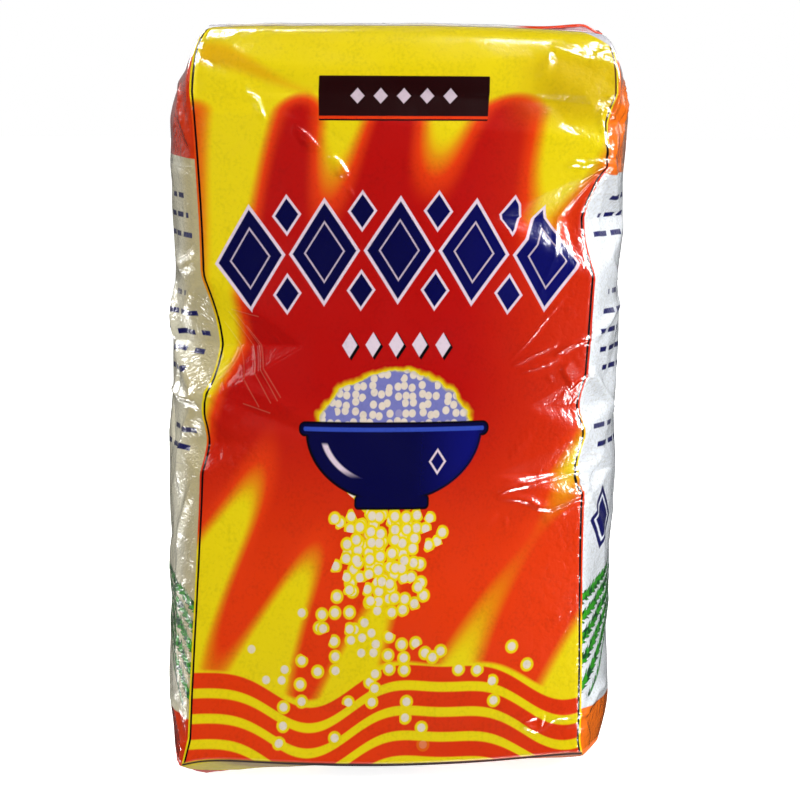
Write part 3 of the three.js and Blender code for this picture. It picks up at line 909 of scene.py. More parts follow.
@dataclass
class FilmTube:
    """The bag's film: one tube from the foot's middle line to the head's."""

    form: BagForm = field(default_factory=BagForm)
    wrinkles: Wrinkles = field(default_factory=Wrinkles)
    front_steps: int = 168
    back_steps: int = 60
    side_steps: int = 44
    busy_across: tuple[Point, ...] = ((-76.0, -11.0), (29.0, 76.0))
    busy_up: tuple[Point, ...] = ((5.0, 16.0), (60.0, 73.0), (87.0, 115.0), (138.0, 166.0))
    busy_gain: float = 1.5
    corner_steps: int = 4
    foot_levels: Sequence[float] = (-1.0, -0.85, -0.7, -0.55, -0.42, -0.32)
    foot_turn_steps: int = 9
    wall_steps: int = 226
    head_steps: int = 46
    head_crowding: float = 1.5
    wrinkled_from: Point = (-0.2, 0.03)
    wrinkled_to: Point = (1.75, 1.98)
    name: str = "film_tube"

    def levels(self) -> Array:
        """Every level of the film, from -1 at the foot's middle line to 2 at the head's."""
        tucked = self.form.foot_tuck / self.form.edge_half_depth
        turn = np.linspace(-tucked, 0.0, self.foot_turn_steps + 1)[:-1]
        height = self.form.shoulder_height
        wall = pace(0.0, height, self.wall_steps, self.busy_up, self.busy_gain)
        head = 1.0 + (np.arange(1, self.head_steps + 1) / self.head_steps) ** self.head_crowding
        return np.concatenate([self.foot_levels, turn, wall, head])

    def stretch(self, panel: Panel, start: float, end: float, steps: int, flat: Point) -> Ring:
        """A run of stations across one panel, clear of its rounded edges.

        Args:
            panel: the panel.
            start: where the run starts along the panel, from -1 to 1.
            end: where it ends.
            steps: how many steps it takes.
            flat: the run's ends across the flat film.

        Returns:
            The run, by level and station.
        """
        share = pace(flat[0], flat[1], steps, self.busy_across, self.busy_gain)
        return Ring(
            self.form.film(panel, mix(start, end, share), self.levels()),
            mix(flat[0], flat[1], share),
        )

    def corner(self, before: Ring, after: Ring, panel: Panel, along: float) -> Ring:
        """The rounded edge between two runs.

        Args:
            before: the run that ends at the edge.
            after: the run that starts from it.
            panel: the panel that the first run is on.
            along: which end of that panel the edge is, -1 or 1.

        Returns:
            The stations between the two, without their own ends.
        """
        share = (np.arange(1, self.corner_steps) / self.corner_steps)[None, :, None]
        sharp = self.form.film(panel, np.array([along]), self.levels())
        start, end = before.points[:, -1:], after.points[:, :1]
        points = (
            (1 - share) ** 2 * start + 2 * share * (1 - share) * sharp + share**2 * end
        )
        return Ring(points, mix(before.across[-1], after.across[0], share[0, :, 0]))

    def ring(self) -> Ring:
        """All the stations round the bag, from the middle of the back and round to it again."""
        side = 1.0 - self.form.edge_chamfer / self.form.edge_half_depth
        face = 1.0 - self.form.edge_chamfer / self.form.edge_half_width[0]
        half, full = FACE_HALF, FACE_HALF + GUSSET
        back = full + FACE_HALF
        round_face = half * (1.0 - face)
        round_side = GUSSET / 2.0 * (1.0 - side)
        half_steps = self.back_steps // 2
        steps = self.side_steps
        front = half - round_face
        runs = [
            (Panel.BACK, 0.0, -face, half_steps, (-back, -full - round_face)),
            (Panel.LEFT, side, -side, steps, (-full + round_side, -half - round_side)),
            (Panel.FRONT, -face, face, self.front_steps, (-front, front)),
            (Panel.RIGHT, -side, side, steps, (half + round_side, full - round_side)),
            (Panel.BACK, face, 0.0, half_steps, (full + round_face, back)),
        ]
        stretches = [self.stretch(*run) for run in runs]
        parts = [stretches[0]]
        for before, after, run in zip(stretches, stretches[1:], runs):
            parts += [self.corner(before, after, run[0], math.copysign(1.0, run[2])), after]
        return Ring(
            np.concatenate([part.points for part in parts], axis=1),
            np.concatenate([part.across for part in parts]),
        )

    def up(self) -> Array:
        """Each level's place up the flat film, by its distance along the front's middle."""
        levels = self.levels()
        middle = self.form.film(Panel.FRONT, np.array([0.0]), levels)[:, 0]
        steps = np.linalg.norm(np.diff(middle, axis=0), axis=1)
        distance = np.concatenate([[0.0], np.cumsum(steps)])
        at_shoulder = np.interp(1.0, levels, distance)
        return distance - at_shoulder + self.form.shoulder_height

    def wrinkled_at(self, levels: Array) -> Array:
        """How much of the wrinkles there is at each level: none at the hidden middle lines."""
        return ease(*self.wrinkled_from, levels) * (1.0 - ease(*self.wrinkled_to, levels))

    def build(self, offset: Array) -> bpy.types.Object:
        """Makes the film with its wrinkles.

        Args:
            offset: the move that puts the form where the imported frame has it.

        Returns:
            The film.
        """
        ring = self.ring()
        across, up = ring.across[None, :], self.up()[:, None]
        lift = self.wrinkles.height_at(across, up) * self.wrinkled_at(self.levels())[:, None]
        points = ring.points + normals_of(ring.points) * lift[..., None] + offset
        points[..., 2] = np.maximum(points[..., 2], 0.0)
        return MeshMaker().from_grid(self.name, points, across, up)


# ------------------------------------------------------------------ colours and print


class Ink(Enum):
    """The film's printing inks and painted shade and light, as a screen shows them."""

    YELLOW = (236, 212, 0)
    AMBER = (230, 140, 0)
    ORANGE = (230, 56, 0)
    RED = (184, 4, 0)
    NAVY = (2, 2, 66)
    BLUE = (8, 14, 132)
    PALE = (228, 208, 222)
    MAROON = (36, 2, 4)
    BLACK = (4, 3, 6)
    # OLIVE and PEACH are laid only as painted shade under the foot
    OLIVE = (168, 130, 8)
    PEACH = (222, 128, 92)
    CREAM = (236, 206, 168)
    GRAIN = (228, 214, 196)
    SHADE = (120, 122, 190)
    SKY = (60, 90, 214)
    LEAF = (50, 158, 28)
    DARK_LEAF = (8, 70, 36)
    BAND = (212, 52, 0)
    # LIGHT_BAND is painted light on the right panel's band; WARM_MILK is partly painted shade on
    # the left panel
    LIGHT_BAND = (238, 112, 20)
    WARM_MILK = (192, 180, 136)
    MILK = (226, 222, 200)
    COOL_MILK = (226, 230, 236)
    LILAC = (222, 220, 230)
    BAR = (14, 16, 92)
    SPECK = (176, 168, 140)
    SOOT = (0, 0, 0)

    @property
    def linear(self) -> Colour:
        """The ink in linear light."""
        return srgb(*self.value)


Number = Union["Reading", float]


class Reading:
    """A number that changes over the film, as an output in a material's node tree."""

    def __init__(self, tree: bpy.types.NodeTree, socket: bpy.types.NodeSocket) -> None:
        """Keeps the tree and the output that gives the number."""
        self.tree = tree
        self.socket = socket

    def calc(self, operation: str, *others: Number) -> "Reading":
        """Runs a Math node on this number and others.

        Args:
            operation: the Math node's operation.
            others: further inputs, in order.

        Returns:
            The node's result.
        """
        node = self.tree.nodes.new("ShaderNodeMath")
        node.operation = operation
        self.tree.links.new(self.socket, node.inputs[0])
        for place, other in enumerate(others, start=1):
            if isinstance(other, Reading):
                self.tree.links.new(other.socket, node.inputs[place])
            else:
                node.inputs[place].default_value = other
        return Reading(self.tree, node.outputs[0])

    def __add__(self, other: Number) -> "Reading":
        """Adds."""
        return self.calc("ADD", other)

    def __sub__(self, other: Number) -> "Reading":
        """Takes away."""
        return self.calc("SUBTRACT", other)

    def __mul__(self, other: Number) -> "Reading":
        """Multiplies."""
        return self.calc("MULTIPLY", other)

    def __truediv__(self, other: Number) -> "Reading":
        """Divides."""
        return self.calc("DIVIDE", other)

    def __neg__(self) -> "Reading":
        """Turns the sign."""
        return self.calc("MULTIPLY", -1.0)

    def __abs__(self) -> "Reading":
        """Drops the sign."""
        return self.calc("ABSOLUTE")

    def lower(self, other: Number) -> "Reading":
        """The lower of two."""
        return self.calc("MINIMUM", other)

    def higher(self, other: Number) -> "Reading":
        """The higher of two."""
        return self.calc("MAXIMUM", other)

    def root(self) -> "Reading":
        """The square root."""
        return self.calc("SQRT")

    def sine(self) -> "Reading":
        """The sine."""
        return self.calc("SINE")

    def ramp(self, start: float, end: float) -> "Reading":
        """Runs smoothly from 0 at start to 1 at end, either way round."""
        node = self.tree.nodes.new("ShaderNodeMapRange")
        node.interpolation_type = "SMOOTHSTEP"
        self.tree.links.new(self.socket, node.inputs["Value"])
        low, high = (0.0, 1.0) if start < end else (1.0, 0.0)
        node.inputs["From Min"].default_value = min(start, end)
        node.inputs["From Max"].default_value = max(start, end)
        node.inputs["To Min"].default_value = low
        node.inputs["To Max"].default_value = high
        return Reading(self.tree, node.outputs["Result"])

    def inside(self, soft: float = 0.12) -> "Reading":
        """Full where a signed distance is below 0, with an edge of that softness."""
        return self.ramp(soft, -soft)

    def repeat(self, pitch: float, shift: float = 0.0) -> tuple["Reading", "Reading"]:
        """Which repeat of a pitch each place is in, and how far it is from that one's middle."""
        count = (self / pitch + shift).calc("ROUND") - shift
        return count, self - count * pitch

    def at_most(self, reach: float) -> "Reading":
        """Full where a count is no more than reach, to either side of nought."""
        return abs(self).ramp(reach + 0.3, reach + 0.2)


class Paint:
    """A colour that changes over the film, built up ink by ink."""

    def __init__(self, tree: bpy.types.NodeTree, ground: Ink) -> None:
        """Starts from one ink all over."""
        self.tree = tree
        node = tree.nodes.new("ShaderNodeRGB")
        node.outputs[0].default_value = (*ground.linear, 1.0)
        self.socket = node.outputs[0]

    def lay(self, ink: Union[Ink, "Paint"], where: Reading) -> None:
        """Lays an ink over what is there.

        Args:
            ink: an ink, or another paint.
            where: how much of it, from 0 to 1.
        """
        node = self.tree.nodes.new("ShaderNodeMix")
        node.data_type = "RGBA"
        self.tree.links.new(where.socket, node.inputs["Factor"])
        self.tree.links.new(self.socket, node.inputs["A"])
        if isinstance(ink, Paint):
            self.tree.links.new(ink.socket, node.inputs["B"])
        else:
            node.inputs["B"].default_value = (*ink.linear, 1.0)
        self.socket = node.outputs["Result"]


@dataclass(frozen=True)
class Wave:
    """A sine wave: its radians for each millimetre or count, its height and its start."""

    rate: float
    height: float = 1.0
    start: float = 0.0

    def over(self, place: Reading) -> Reading:
        """How high the wave is at a place."""
        return (place * self.rate + self.start).sine() * self.height


@dataclass(frozen=True)
class Noise:
    """Smooth random numbers: their waves for each millimetre, their detail and which draw."""

    scale: float
    detail: float
    seed: float


@dataclass(frozen=True)
class Scatter:
    """Round grains thrown on the film: their mean distance, their radius and which throw."""

    spacing: float
    radius: float
    seed: float
    looseness: float = 0.6


@dataclass(frozen=True)
class Grains:
    """The nearest grain: the distance to its edge, where its middle is, and two random numbers."""

    edge: Reading
    across: Reading
    up: Reading
    chance: Reading
    second_chance: Reading


class Sheet:
    """The flat film as a printer sees it: its coordinates and shapes on them."""

    def __init__(self, tree: bpy.types.NodeTree) -> None:
        """Reads the film's flat coordinates."""
        self.tree = tree
        source = tree.nodes.new("ShaderNodeUVMap")
        source.uv_map = FLAT_MAP
        split = tree.nodes.new("ShaderNodeSeparateXYZ")
        tree.links.new(source.outputs[0], split.inputs[0])
        self.across = Reading(tree, split.outputs[0])
        self.up = Reading(tree, split.outputs[1])
        self.vector = source.outputs[0]

    @property
    def from_middle(self) -> Reading:
        """The distance from the front's middle line, to either side."""
        return abs(self.across)

    def length(self, x: Number, y: Number) -> Reading:
        """The length of a vector."""
        return (x * x + y * y).root()

    def box(
        self, x: Reading, y: Reading, half_x: float, half_y: float, corner: float = 0.0
    ) -> Reading:
        """Signed distance to a box about nought, with rounded corners."""
        dx = abs(x) - (half_x - corner)
        dy = abs(y) - (half_y - corner)
        outside = self.length(dx.higher(0.0), dy.higher(0.0))
        return outside + dx.higher(dy).lower(0.0) - corner

    def oval(self, x: Reading, y: Reading, half_x: float, half_y: float) -> Reading:
        """Near enough the signed distance to an oval about nought."""
        return (self.length(x / half_x, y / half_y) - 1.0) * min(half_x, half_y)

    def lozenge(self, x: Reading, y: Reading, half_x: float, half_y: float) -> Reading:
        """Near enough the signed distance to a lozenge about nought."""
        reach = abs(x) / half_x + abs(y) / half_y
        return (reach - 1.0) * (half_x * half_y / math.hypot(half_x, half_y))

    def line(self, start: Point, end: Point) -> Reading:
        """The distance to a straight line between two points."""
        dx, dy = end[0] - start[0], end[1] - start[1]
        reach = math.hypot(dx, dy)
        x, y = self.across - start[0], self.up - start[1]
        along = (x * dx + y * dy) / reach - reach / 2.0
        return self.box(along, (y * dx - x * dy) / reach, reach / 2.0, 0.0)

    def grains(self, scatter: Scatter) -> Grains:
        """The grain of a scatter that is nearest to each place."""
        shift = (scatter.seed, scatter.seed * 0.7)
        place = self.tree.nodes.new("ShaderNodeMapping")
        place.inputs["Location"].default_value = (*shift, 0.0)
        density = 1.0 / scatter.spacing
        place.inputs["Scale"].default_value = (density, density, 1.0)
        self.tree.links.new(self.vector, place.inputs["Vector"])
        cells = self.tree.nodes.new("ShaderNodeTexVoronoi")
        cells.voronoi_dimensions = "2D"
        cells.feature = "F1"
        cells.inputs["Scale"].default_value = 1.0
        cells.inputs["Randomness"].default_value = scatter.looseness
        self.tree.links.new(place.outputs[0], cells.inputs["Vector"])
        colour = self.tree.nodes.new("ShaderNodeSeparateColor")
        self.tree.links.new(cells.outputs["Color"], colour.inputs[0])
        middle = self.tree.nodes.new("ShaderNodeSeparateXYZ")
        self.tree.links.new(cells.outputs["Position"], middle.inputs[0])
        return Grains(
            Reading(self.tree, cells.outputs["Distance"]) * scatter.spacing - scatter.radius,
            (Reading(self.tree, middle.outputs[0]) - shift[0]) * scatter.spacing,
            (Reading(self.tree, middle.outputs[1]) - shift[1]) * scatter.spacing,
            Reading(self.tree, colour.outputs[0]),
            Reading(self.tree, colour.outputs[1]),
        )

    def noise(self, noise: Noise) -> Reading:
        """Smooth random numbers about a half."""
        place = self.tree.nodes.new("ShaderNodeMapping")
        place.inputs["Location"].default_value = (noise.seed, -noise.seed, 0.0)
        self.tree.links.new(self.vector, place.inputs["Vector"])
        node = self.tree.nodes.new("ShaderNodeTexNoise")
        node.noise_dimensions = "2D"
        node.inputs["Scale"].default_value = noise.scale
        node.inputs["Detail"].default_value = noise.detail
        self.tree.links.new(place.outputs[0], node.inputs["Vector"])
        return Reading(self.tree, node.outputs["Fac"])


class Motif(Protocol):
    """Something printed on the film.

    In every motif, a pair named for where it is, such as above, right or amber, gives the two
    ends of a soft edge: where it starts and where it is full.
    """

    def lay(self, sheet: Sheet, paint: Paint) -> None:
        """Lays the motif over what is there.

        Args:
            sheet: the flat film.
            paint: the print that it lies on.
        """


@dataclass(frozen=True)
class Ribbons:
    """Yellow film with soft orange ribbons that gather to a red middle."""

    core_at: Point = (3.0, 97.0)
    core_half: Point = (57.0, 62.0)
    core_edge: Point = (0.45, 1.0)
    core_heat: float = 1.44
    core_cooling: float = 0.92
    pitch: float = 27.0
    start: float = 0.9
    slant: float = 0.36
    bend_up: Wave = Wave(0.045, 5.0, 0.4)
    bend_across: Wave = Wave(0.05, 4.0, 0.8)
    ribbon_heat: float = 0.36
    head: Point = (158.0, 172.0)
    head_cooling: float = 1.3
    warm_right: Point = (-4.0, 22.0)
    warm_below: Point = (80.0, 55.0)
    warm_heat: float = 0.24
    amber: Point = (0.27, 0.45)
    orange: Point = (0.38, 0.58)
    red: Point = (0.52, 0.80)
    red_above: Point = (42.0, 96.0)
    red_left: Point = (48.0, 14.0)
    red_right_share: float = 0.5

    def paint(self, sheet: Sheet, x: Reading, up: Reading) -> Paint:
        """Makes the ground print of a face.

        Args:
            sheet: the flat film.
            x: places across the panel from its middle.
            up: places up the film.

        Returns:
            The print.
        """
        core = sheet.length(
            (x - self.core_at[0]) / self.core_half[0], (up - self.core_at[1]) / self.core_half[1]
        )
        slanted = x * math.sqrt(1.0 - self.slant**2) - up * self.slant
        bend = self.bend_up.over(up) + self.bend_across.over(x)
        ribbon = Wave(2.0 * math.pi / self.pitch, 1.0, self.start).over(slanted + bend)
        heat = ribbon * core.ramp(*self.core_edge) * self.ribbon_heat
        heat = heat - core * self.core_cooling + self.core_heat
        heat = heat - up.ramp(*self.head) * self.head_cooling
        heat = heat + x.ramp(*self.warm_right) * up.ramp(*self.warm_below) * self.warm_heat
        least = self.red_right_share
        red = heat.ramp(*self.red) * up.ramp(*self.red_above)
        paint = Paint(sheet.tree, Ink.YELLOW)
        paint.lay(Ink.AMBER, heat.ramp(*self.amber))
        paint.lay(Ink.ORANGE, heat.ramp(*self.orange))
        paint.lay(Ink.RED, red * (x.ramp(*self.red_left) * (1.0 - least) + least))
        return paint


@dataclass(frozen=True)
class FootWaves:
    """Thin yellow and orange waves along the foot of the front."""

    crest: float = 25.0
    long_swell: Wave = Wave(0.085, 4.6, 0.5)
    short_swell: Wave = Wave(0.19, 1.6, 2.0)
    crest_edge: Point = (-0.6, 0.6)
    reach: Point = (51.1, 50.9)
    pitch: float = 6.2
    start: float = 1.55
    sway: Wave = Wave(0.11, 0.8)
    red_wave: Wave = Wave(0.05)
    red: Point = (-0.4, 1.0)
    red_share: float = 0.2
    amber: Point = (0.12, 0.4)
    yellow: Point = (0.3, 0.56)

    def lay(self, sheet: Sheet, paint: Paint) -> None:
        """Lays the waves."""
        x = sheet.across
        depth = self.long_swell.over(x) + self.short_swell.over(x) + self.crest - sheet.up
        zone = depth.ramp(*self.crest_edge) * sheet.from_middle.ramp(*self.reach)
        rows = (depth * (2.0 * math.pi / self.pitch) + self.sway.over(x) + self.start).sine()
        stripes = Paint(sheet.tree, Ink.ORANGE)
        stripes.lay(Ink.RED, self.red_wave.over(x).ramp(*self.red) * self.red_share)
        stripes.lay(Ink.AMBER, rows.ramp(*self.amber))
        stripes.lay(Ink.YELLOW, rows.ramp(*self.yellow))
        paint.lay(stripes, zone)


@dataclass(frozen=True)
class Garland:
    """An arched row of navy lozenges with pale outlines, over a row of pale beads."""

    height: float = 126.0
    arch: float = 0.0016
    pitch: float = 19.4
    big_half: Point = (8.3, 11.4)
    big_outline: float = 0.75
    big_reach: float = 2.0
    rule_inset: float = 2.6
    rule_half: float = 0.2
    rule_share: float = 0.7
    small_half: Point = (3.0, 3.9)
    small_outline: float = 0.6
    small_rise: float = 9.2
    small_reach: float = 1.5
    blue: Point = (-10.0, 60.0)
    blue_share: float = 0.5
    bead_height: float = 104.0
    bead_pitch: float = 6.2
    bead_half: Point = (2.0, 2.9)
    bead_reach: float = 2.0
    shadow_height: float = 103.5
    shadow_shift: float = 0.5
    shadow_half: Point = (2.2, 3.1)

    def lay(self, sheet: Sheet, paint: Paint) -> None:
        """Lays the lozenges and the beads."""
        x = sheet.across
        arch = x * x * self.arch
        up = sheet.up - self.height + arch
        ink = Paint(sheet.tree, Ink.NAVY)
        ink.lay(Ink.BLUE, x.ramp(*self.blue) * self.blue_share)
        count, off = x.repeat(self.pitch)
        within = count.at_most(self.big_reach)
        big = sheet.lozenge(off, up, *self.big_half)
        rule = (abs(big + self.rule_inset) - self.rule_half).inside()
        paint.lay(Ink.PALE, (big - self.big_outline).inside() * within)
        paint.lay(ink, big.inside() * within)
        paint.lay(Ink.PALE, rule * within * self.rule_share)
        count, off = x.repeat(self.pitch, 0.5)
        within = count.at_most(self.small_reach)
        for rise in (self.small_rise, -self.small_rise):
            small = sheet.lozenge(off, up - rise, *self.small_half)
            paint.lay(Ink.PALE, (small - self.small_outline).inside() * within)
            paint.lay(ink, small.inside() * within)
        count, off = x.repeat(self.bead_pitch)
        within = count.at_most(self.bead_reach)
        shadow_up = sheet.up - self.shadow_height + arch
        shadow = sheet.lozenge(off - self.shadow_shift, shadow_up, *self.shadow_half)
        bead = sheet.lozenge(off, sheet.up - self.bead_height + arch, *self.bead_half)
        paint.lay(Ink.BLACK, shadow.inside() * within)
        paint.lay(Ink.PALE, bead.inside() * within)


@dataclass(frozen=True)
class Spill:
    """An oval patch of loose grains with yellow rims, where a share of the places hold one."""

    middle: Point
    half: Point
    scatter: Scatter
    keep: float
    fray: float = 9.0
    rim: float = 0.7
    rim_edge: float = 0.22
    grain_edge: float = 0.16

    def lay(self, sheet: Sheet, paint: Paint) -> None:
        """Lays the grains."""
        grain = sheet.grains(self.scatter)
        x, up = grain.across - self.middle[0], grain.up - self.middle[1]
        edge = sheet.oval(x, up, *self.half)
        kept = (edge + (grain.second_chance - 0.5) * self.fray).inside(SHARP)
        kept = kept * (grain.chance - self.keep).inside(SHARP)
        paint.lay(Ink.YELLOW, (grain.edge - self.rim).inside(self.rim_edge) * kept)
        paint.lay(Ink.GRAIN, grain.edge.inside(self.grain_edge) * kept)


@dataclass(frozen=True)
class Bowl:
    """A navy bowl heaped with sugar, and grains spilt below it."""

    height: float = 84.0
    spills: tuple[Spill, ...] = (
        Spill((-2.0, 24.0), (34.0, 18.0), Scatter(4.6, 1.02, 9.0), 0.36),
        Spill((-2.0, 44.0), (13.0, 26.0), Scatter(3.6, 1.02, 4.0), 0.6),
        Spill((-2.0, 58.0), (12.0, 14.0), Scatter(2.9, 1.02, 6.0), 0.86),
        Spill((-2.0, 58.0), (12.0, 14.0), Scatter(3.2, 1.02, 12.0), 0.86),
    )
    heap_half: Point = (19.5, 13.5)
    heap_noise: Noise = Noise(0.22, 2.0, 8.0)
    heap_ragged: float = 2.4
    heap_above: Point = (-1.0, -0.5)
    heap_rim: float = 0.9
    heap_rim_edge: float = 0.7
    heap_edge: float = 0.4
    heap_scatter: Scatter = Scatter(2.2, 0.95, 2.0)
    heap_keep: float = 0.92
    grain_edge: float = 0.16
    body_half: Point = (23.0, 16.6)
    foot_half: Point = (9.5, 1.3)
    foot_corner: float = 0.7
    foot_drop: float = 17.0
    rim_half: Point = (25.0, 1.3)
    rim_corner: float = 1.2
    outline: float = 0.5
    edge: float = 0.15
    blue_edge: float = 0.8
    blue_right: Point = (4.0, 22.0)
    blue_share: float = 0.6
    sky_inset: float = 0.8
    sky_share: float = 0.7
    gleam_half: Point = (19.0, 13.2)
    gleam_half_width: float = 0.5
    gleam_edge: float = 0.2
    gleam_left: Point = (-4.0, -8.0)
    gleam_above: Point = (-11.6, -9.0)
    gleam_below: Point = (-3.0, -4.0)
    star_right: float = 12.0
    star_drop: float = 7.6
    star_half: Point = (2.0, 2.7)
    star_half_width: float = 0.25

    def lay(self, sheet: Sheet, paint: Paint) -> None:
        """Lays the spilt grains, the heap and the bowl."""
        for spill in self.spills:
            spill.lay(sheet, paint)
        rise = sheet.up - self.height
        self.lay_heap(sheet, paint, rise)
        self.lay_bowl(sheet, paint, rise)

    def lay_heap(self, sheet: Sheet, paint: Paint, rise: Reading) -> None:
        """Lays the heap of sugar.

        Args:
            sheet: the flat film.
            paint: the print that it lies on.
            rise: places above the bowl's rim.
        """
        ragged = (sheet.noise(self.heap_noise) - 0.5) * self.heap_ragged
        heap = sheet.oval(sheet.across, rise, *self.heap_half) + ragged
        above = rise.ramp(*self.heap_above)
        inside = heap.inside(self.heap_edge)
        grain = sheet.grains(self.heap_scatter)
        kept = (grain.chance - self.heap_keep).inside(SHARP)
        paint.lay(Ink.YELLOW, (heap - self.heap_rim).inside(self.heap_rim_edge) * above)
        paint.lay(Ink.SHADE, inside * above)
        paint.lay(Ink.GRAIN, grain.edge.inside(self.grain_edge) * inside * above * kept)

    def lay_bowl(self, sheet: Sheet, paint: Paint, rise: Reading) -> None:
        """Lays the bowl, with its gleam and a small lozenge.

        Args:
            sheet: the flat film.
            paint: the print that it lies on.
            rise: places above the bowl's rim.
        """
        x = sheet.across
        body = sheet.oval(x, rise, *self.body_half).higher(rise)
        foot = sheet.box(x, rise + self.foot_drop, *self.foot_half, self.foot_corner)
        rim = sheet.box(x, rise, *self.rim_half, self.rim_corner)
        shape = body.lower(foot).lower(rim)
        blue = body.inside(self.blue_edge) * x.ramp(*self.blue_right)
        paint.lay(Ink.BLACK, (shape - self.outline).inside(self.edge))
        paint.lay(Ink.NAVY, shape.inside(self.edge))
        paint.lay(Ink.BLUE, blue * self.blue_share)
        paint.lay(Ink.SKY, (rim + self.sky_inset).inside(self.edge) * self.sky_share)
        gleam = abs(sheet.oval(x, rise, *self.gleam_half)) - self.gleam_half_width
        gleam = gleam.inside(self.gleam_edge) * x.ramp(*self.gleam_left)
        gleam = gleam * rise.ramp(*self.gleam_above) * rise.ramp(*self.gleam_below)
        paint.lay(Ink.PALE, gleam)
        star = sheet.lozenge(x - self.star_right, rise + self.star_drop, *self.star_half)
        paint.lay(Ink.PALE, (abs(star) - self.star_half_width).inside(self.edge))


@dataclass(frozen=True)
class Plaque:
    """A plain dark plaque near the top, with a thin orange rule and pale beads."""

    height: float = 161.4
    half: Point = (20.6, 5.4)
    corner: float = 0.3
    rule_drop: float = 4.6
    rule_half: float = 0.36
    rule_edge: float = 0.1
    bead_pitch: float = 5.6
    bead_rise: float = 0.7
    bead_half: Point = (1.7, 1.9)
    bead_reach: float = 2.0
    bead_share: float = 0.8

    def lay(self, sheet: Sheet, paint: Paint) -> None:
        """Lays the plaque."""
        x, up = sheet.across, sheet.up - self.height
        rule = sheet.box(x, up + self.rule_drop, self.half[0], self.rule_half)
        count, off = x.repeat(self.bead_pitch)
        bead = sheet.lozenge(off, up - self.bead_rise, *self.bead_half)
        paint.lay(Ink.MAROON, sheet.box(x, up, *self.half, self.corner).inside())
        paint.lay(Ink.ORANGE, rule.inside(self.rule_edge))
        paint.lay(Ink.PALE, bead.inside() * count.at_most(self.bead_reach) * self.bead_share)


@dataclass(frozen=True)
class BackBox:
    """A pale box with plain navy bars on either half of the back."""

    middle: Point = (138.0, 88.0)
    half: Point = (15.5, 34.0)
    corner: float = 2.0
    outline: float = 0.5
    pitch: float = 5.2
    bar_half: float = 0.55
    bar_end: float = 9.5
    bar_wave: Wave = Wave(2.1, 3.0)
    reach: float = 29.5
    end_edge: Point = (0.2, -0.2)

    def lay(self, sheet: Sheet, paint: Paint) -> None:
        """Lays the box on both halves."""
        x = (-sheet.from_middle) + self.middle[0]
        up = sheet.up - self.middle[1]
        box = sheet.box(x, up, *self.half, self.corner)
        row, off = up.repeat(self.pitch)
        end = self.bar_wave.over(row) + self.bar_end
        bars = (abs(off) - self.bar_half).inside() * (abs(x) - end).ramp(*self.end_edge)
        paint.lay(Ink.NAVY, (box - self.outline).inside())
        paint.lay(Ink.CREAM, box.inside())
        paint.lay(Ink.BAR, bars * (abs(up) - self.reach).ramp(*self.end_edge))


@dataclass(frozen=True)
class Bars:
    """Rows of short plain navy bars, beside an upright edge."""

    pitch: float = 4.6
    half_height: float = 0.62
    edge: float = 0.15
    end_edge: Point = (-0.2, 0.2)
    start: float = 4.5
    start_wave: Wave = Wave(1.3, 2.2)
    end: float = 21.0
    end_wave: Wave = Wave(2.7, 7.0)
    gap_rate: Point = (0.9, 1.9)
    gap: Point = (-0.72, -0.66)
    row_wave: Wave = Wave(0.9)
    row: Point = (-0.6, -0.45)
    above: Point = (74.0, 74.5)
    below: Point = (141.0, 140.5)

    def lay(self, sheet: Sheet, paint: Paint, inset: Reading) -> None:
        """Lays the bars.

        Args:
            sheet: the flat film.
            paint: the print that they lie on.
            inset: distances from the nearest upright edge.
        """
        row, off = sheet.up.repeat(self.pitch)
        from_start = inset - (self.start_wave.over(row) + self.start)
        to_end = (self.end_wave.over(row) + self.end) - inset
        bars = (abs(off) - self.half_height).inside(self.edge)
        bars = bars * from_start.ramp(*self.end_edge) * to_end.ramp(*self.end_edge)
        gaps = (inset * self.gap_rate[0] + row * self.gap_rate[1]).sine().ramp(*self.gap)
        rows = self.row_wave.over(row).ramp(*self.row)
        zone = sheet.up.ramp(*self.above) * sheet.up.ramp(*self.below)
        paint.lay(Ink.BAR, bars * gaps * rows * zone)


@dataclass(frozen=True)
class SideLozenge:
    """A navy lozenge with a pale rule in it, on the right side panel alone."""

    middle: Point = (8.5, 60.0)
    half: Point = (6.0, 8.0)
    left: Point = (5.0, -5.0)
    left_push: float = 9.0
    rule_inset: float = 1.5
    rule_half: float = 0.3
    edge: float = 0.15

    def lay(self, sheet: Sheet, paint: Paint, inset: Reading) -> None:
        """Lays the lozenge at its distance from the nearest upright edge."""
        x, up = inset - self.middle[0], sheet.up - self.middle[1]
        mark = sheet.lozenge(x, up, *self.half) + sheet.across.ramp(*self.left) * self.left_push
        rule = abs(mark + self.rule_inset) - self.rule_half
        paint.lay(Ink.BAR, mark.inside(self.edge))
        paint.lay(Ink.COOL_MILK, rule.inside(self.edge))


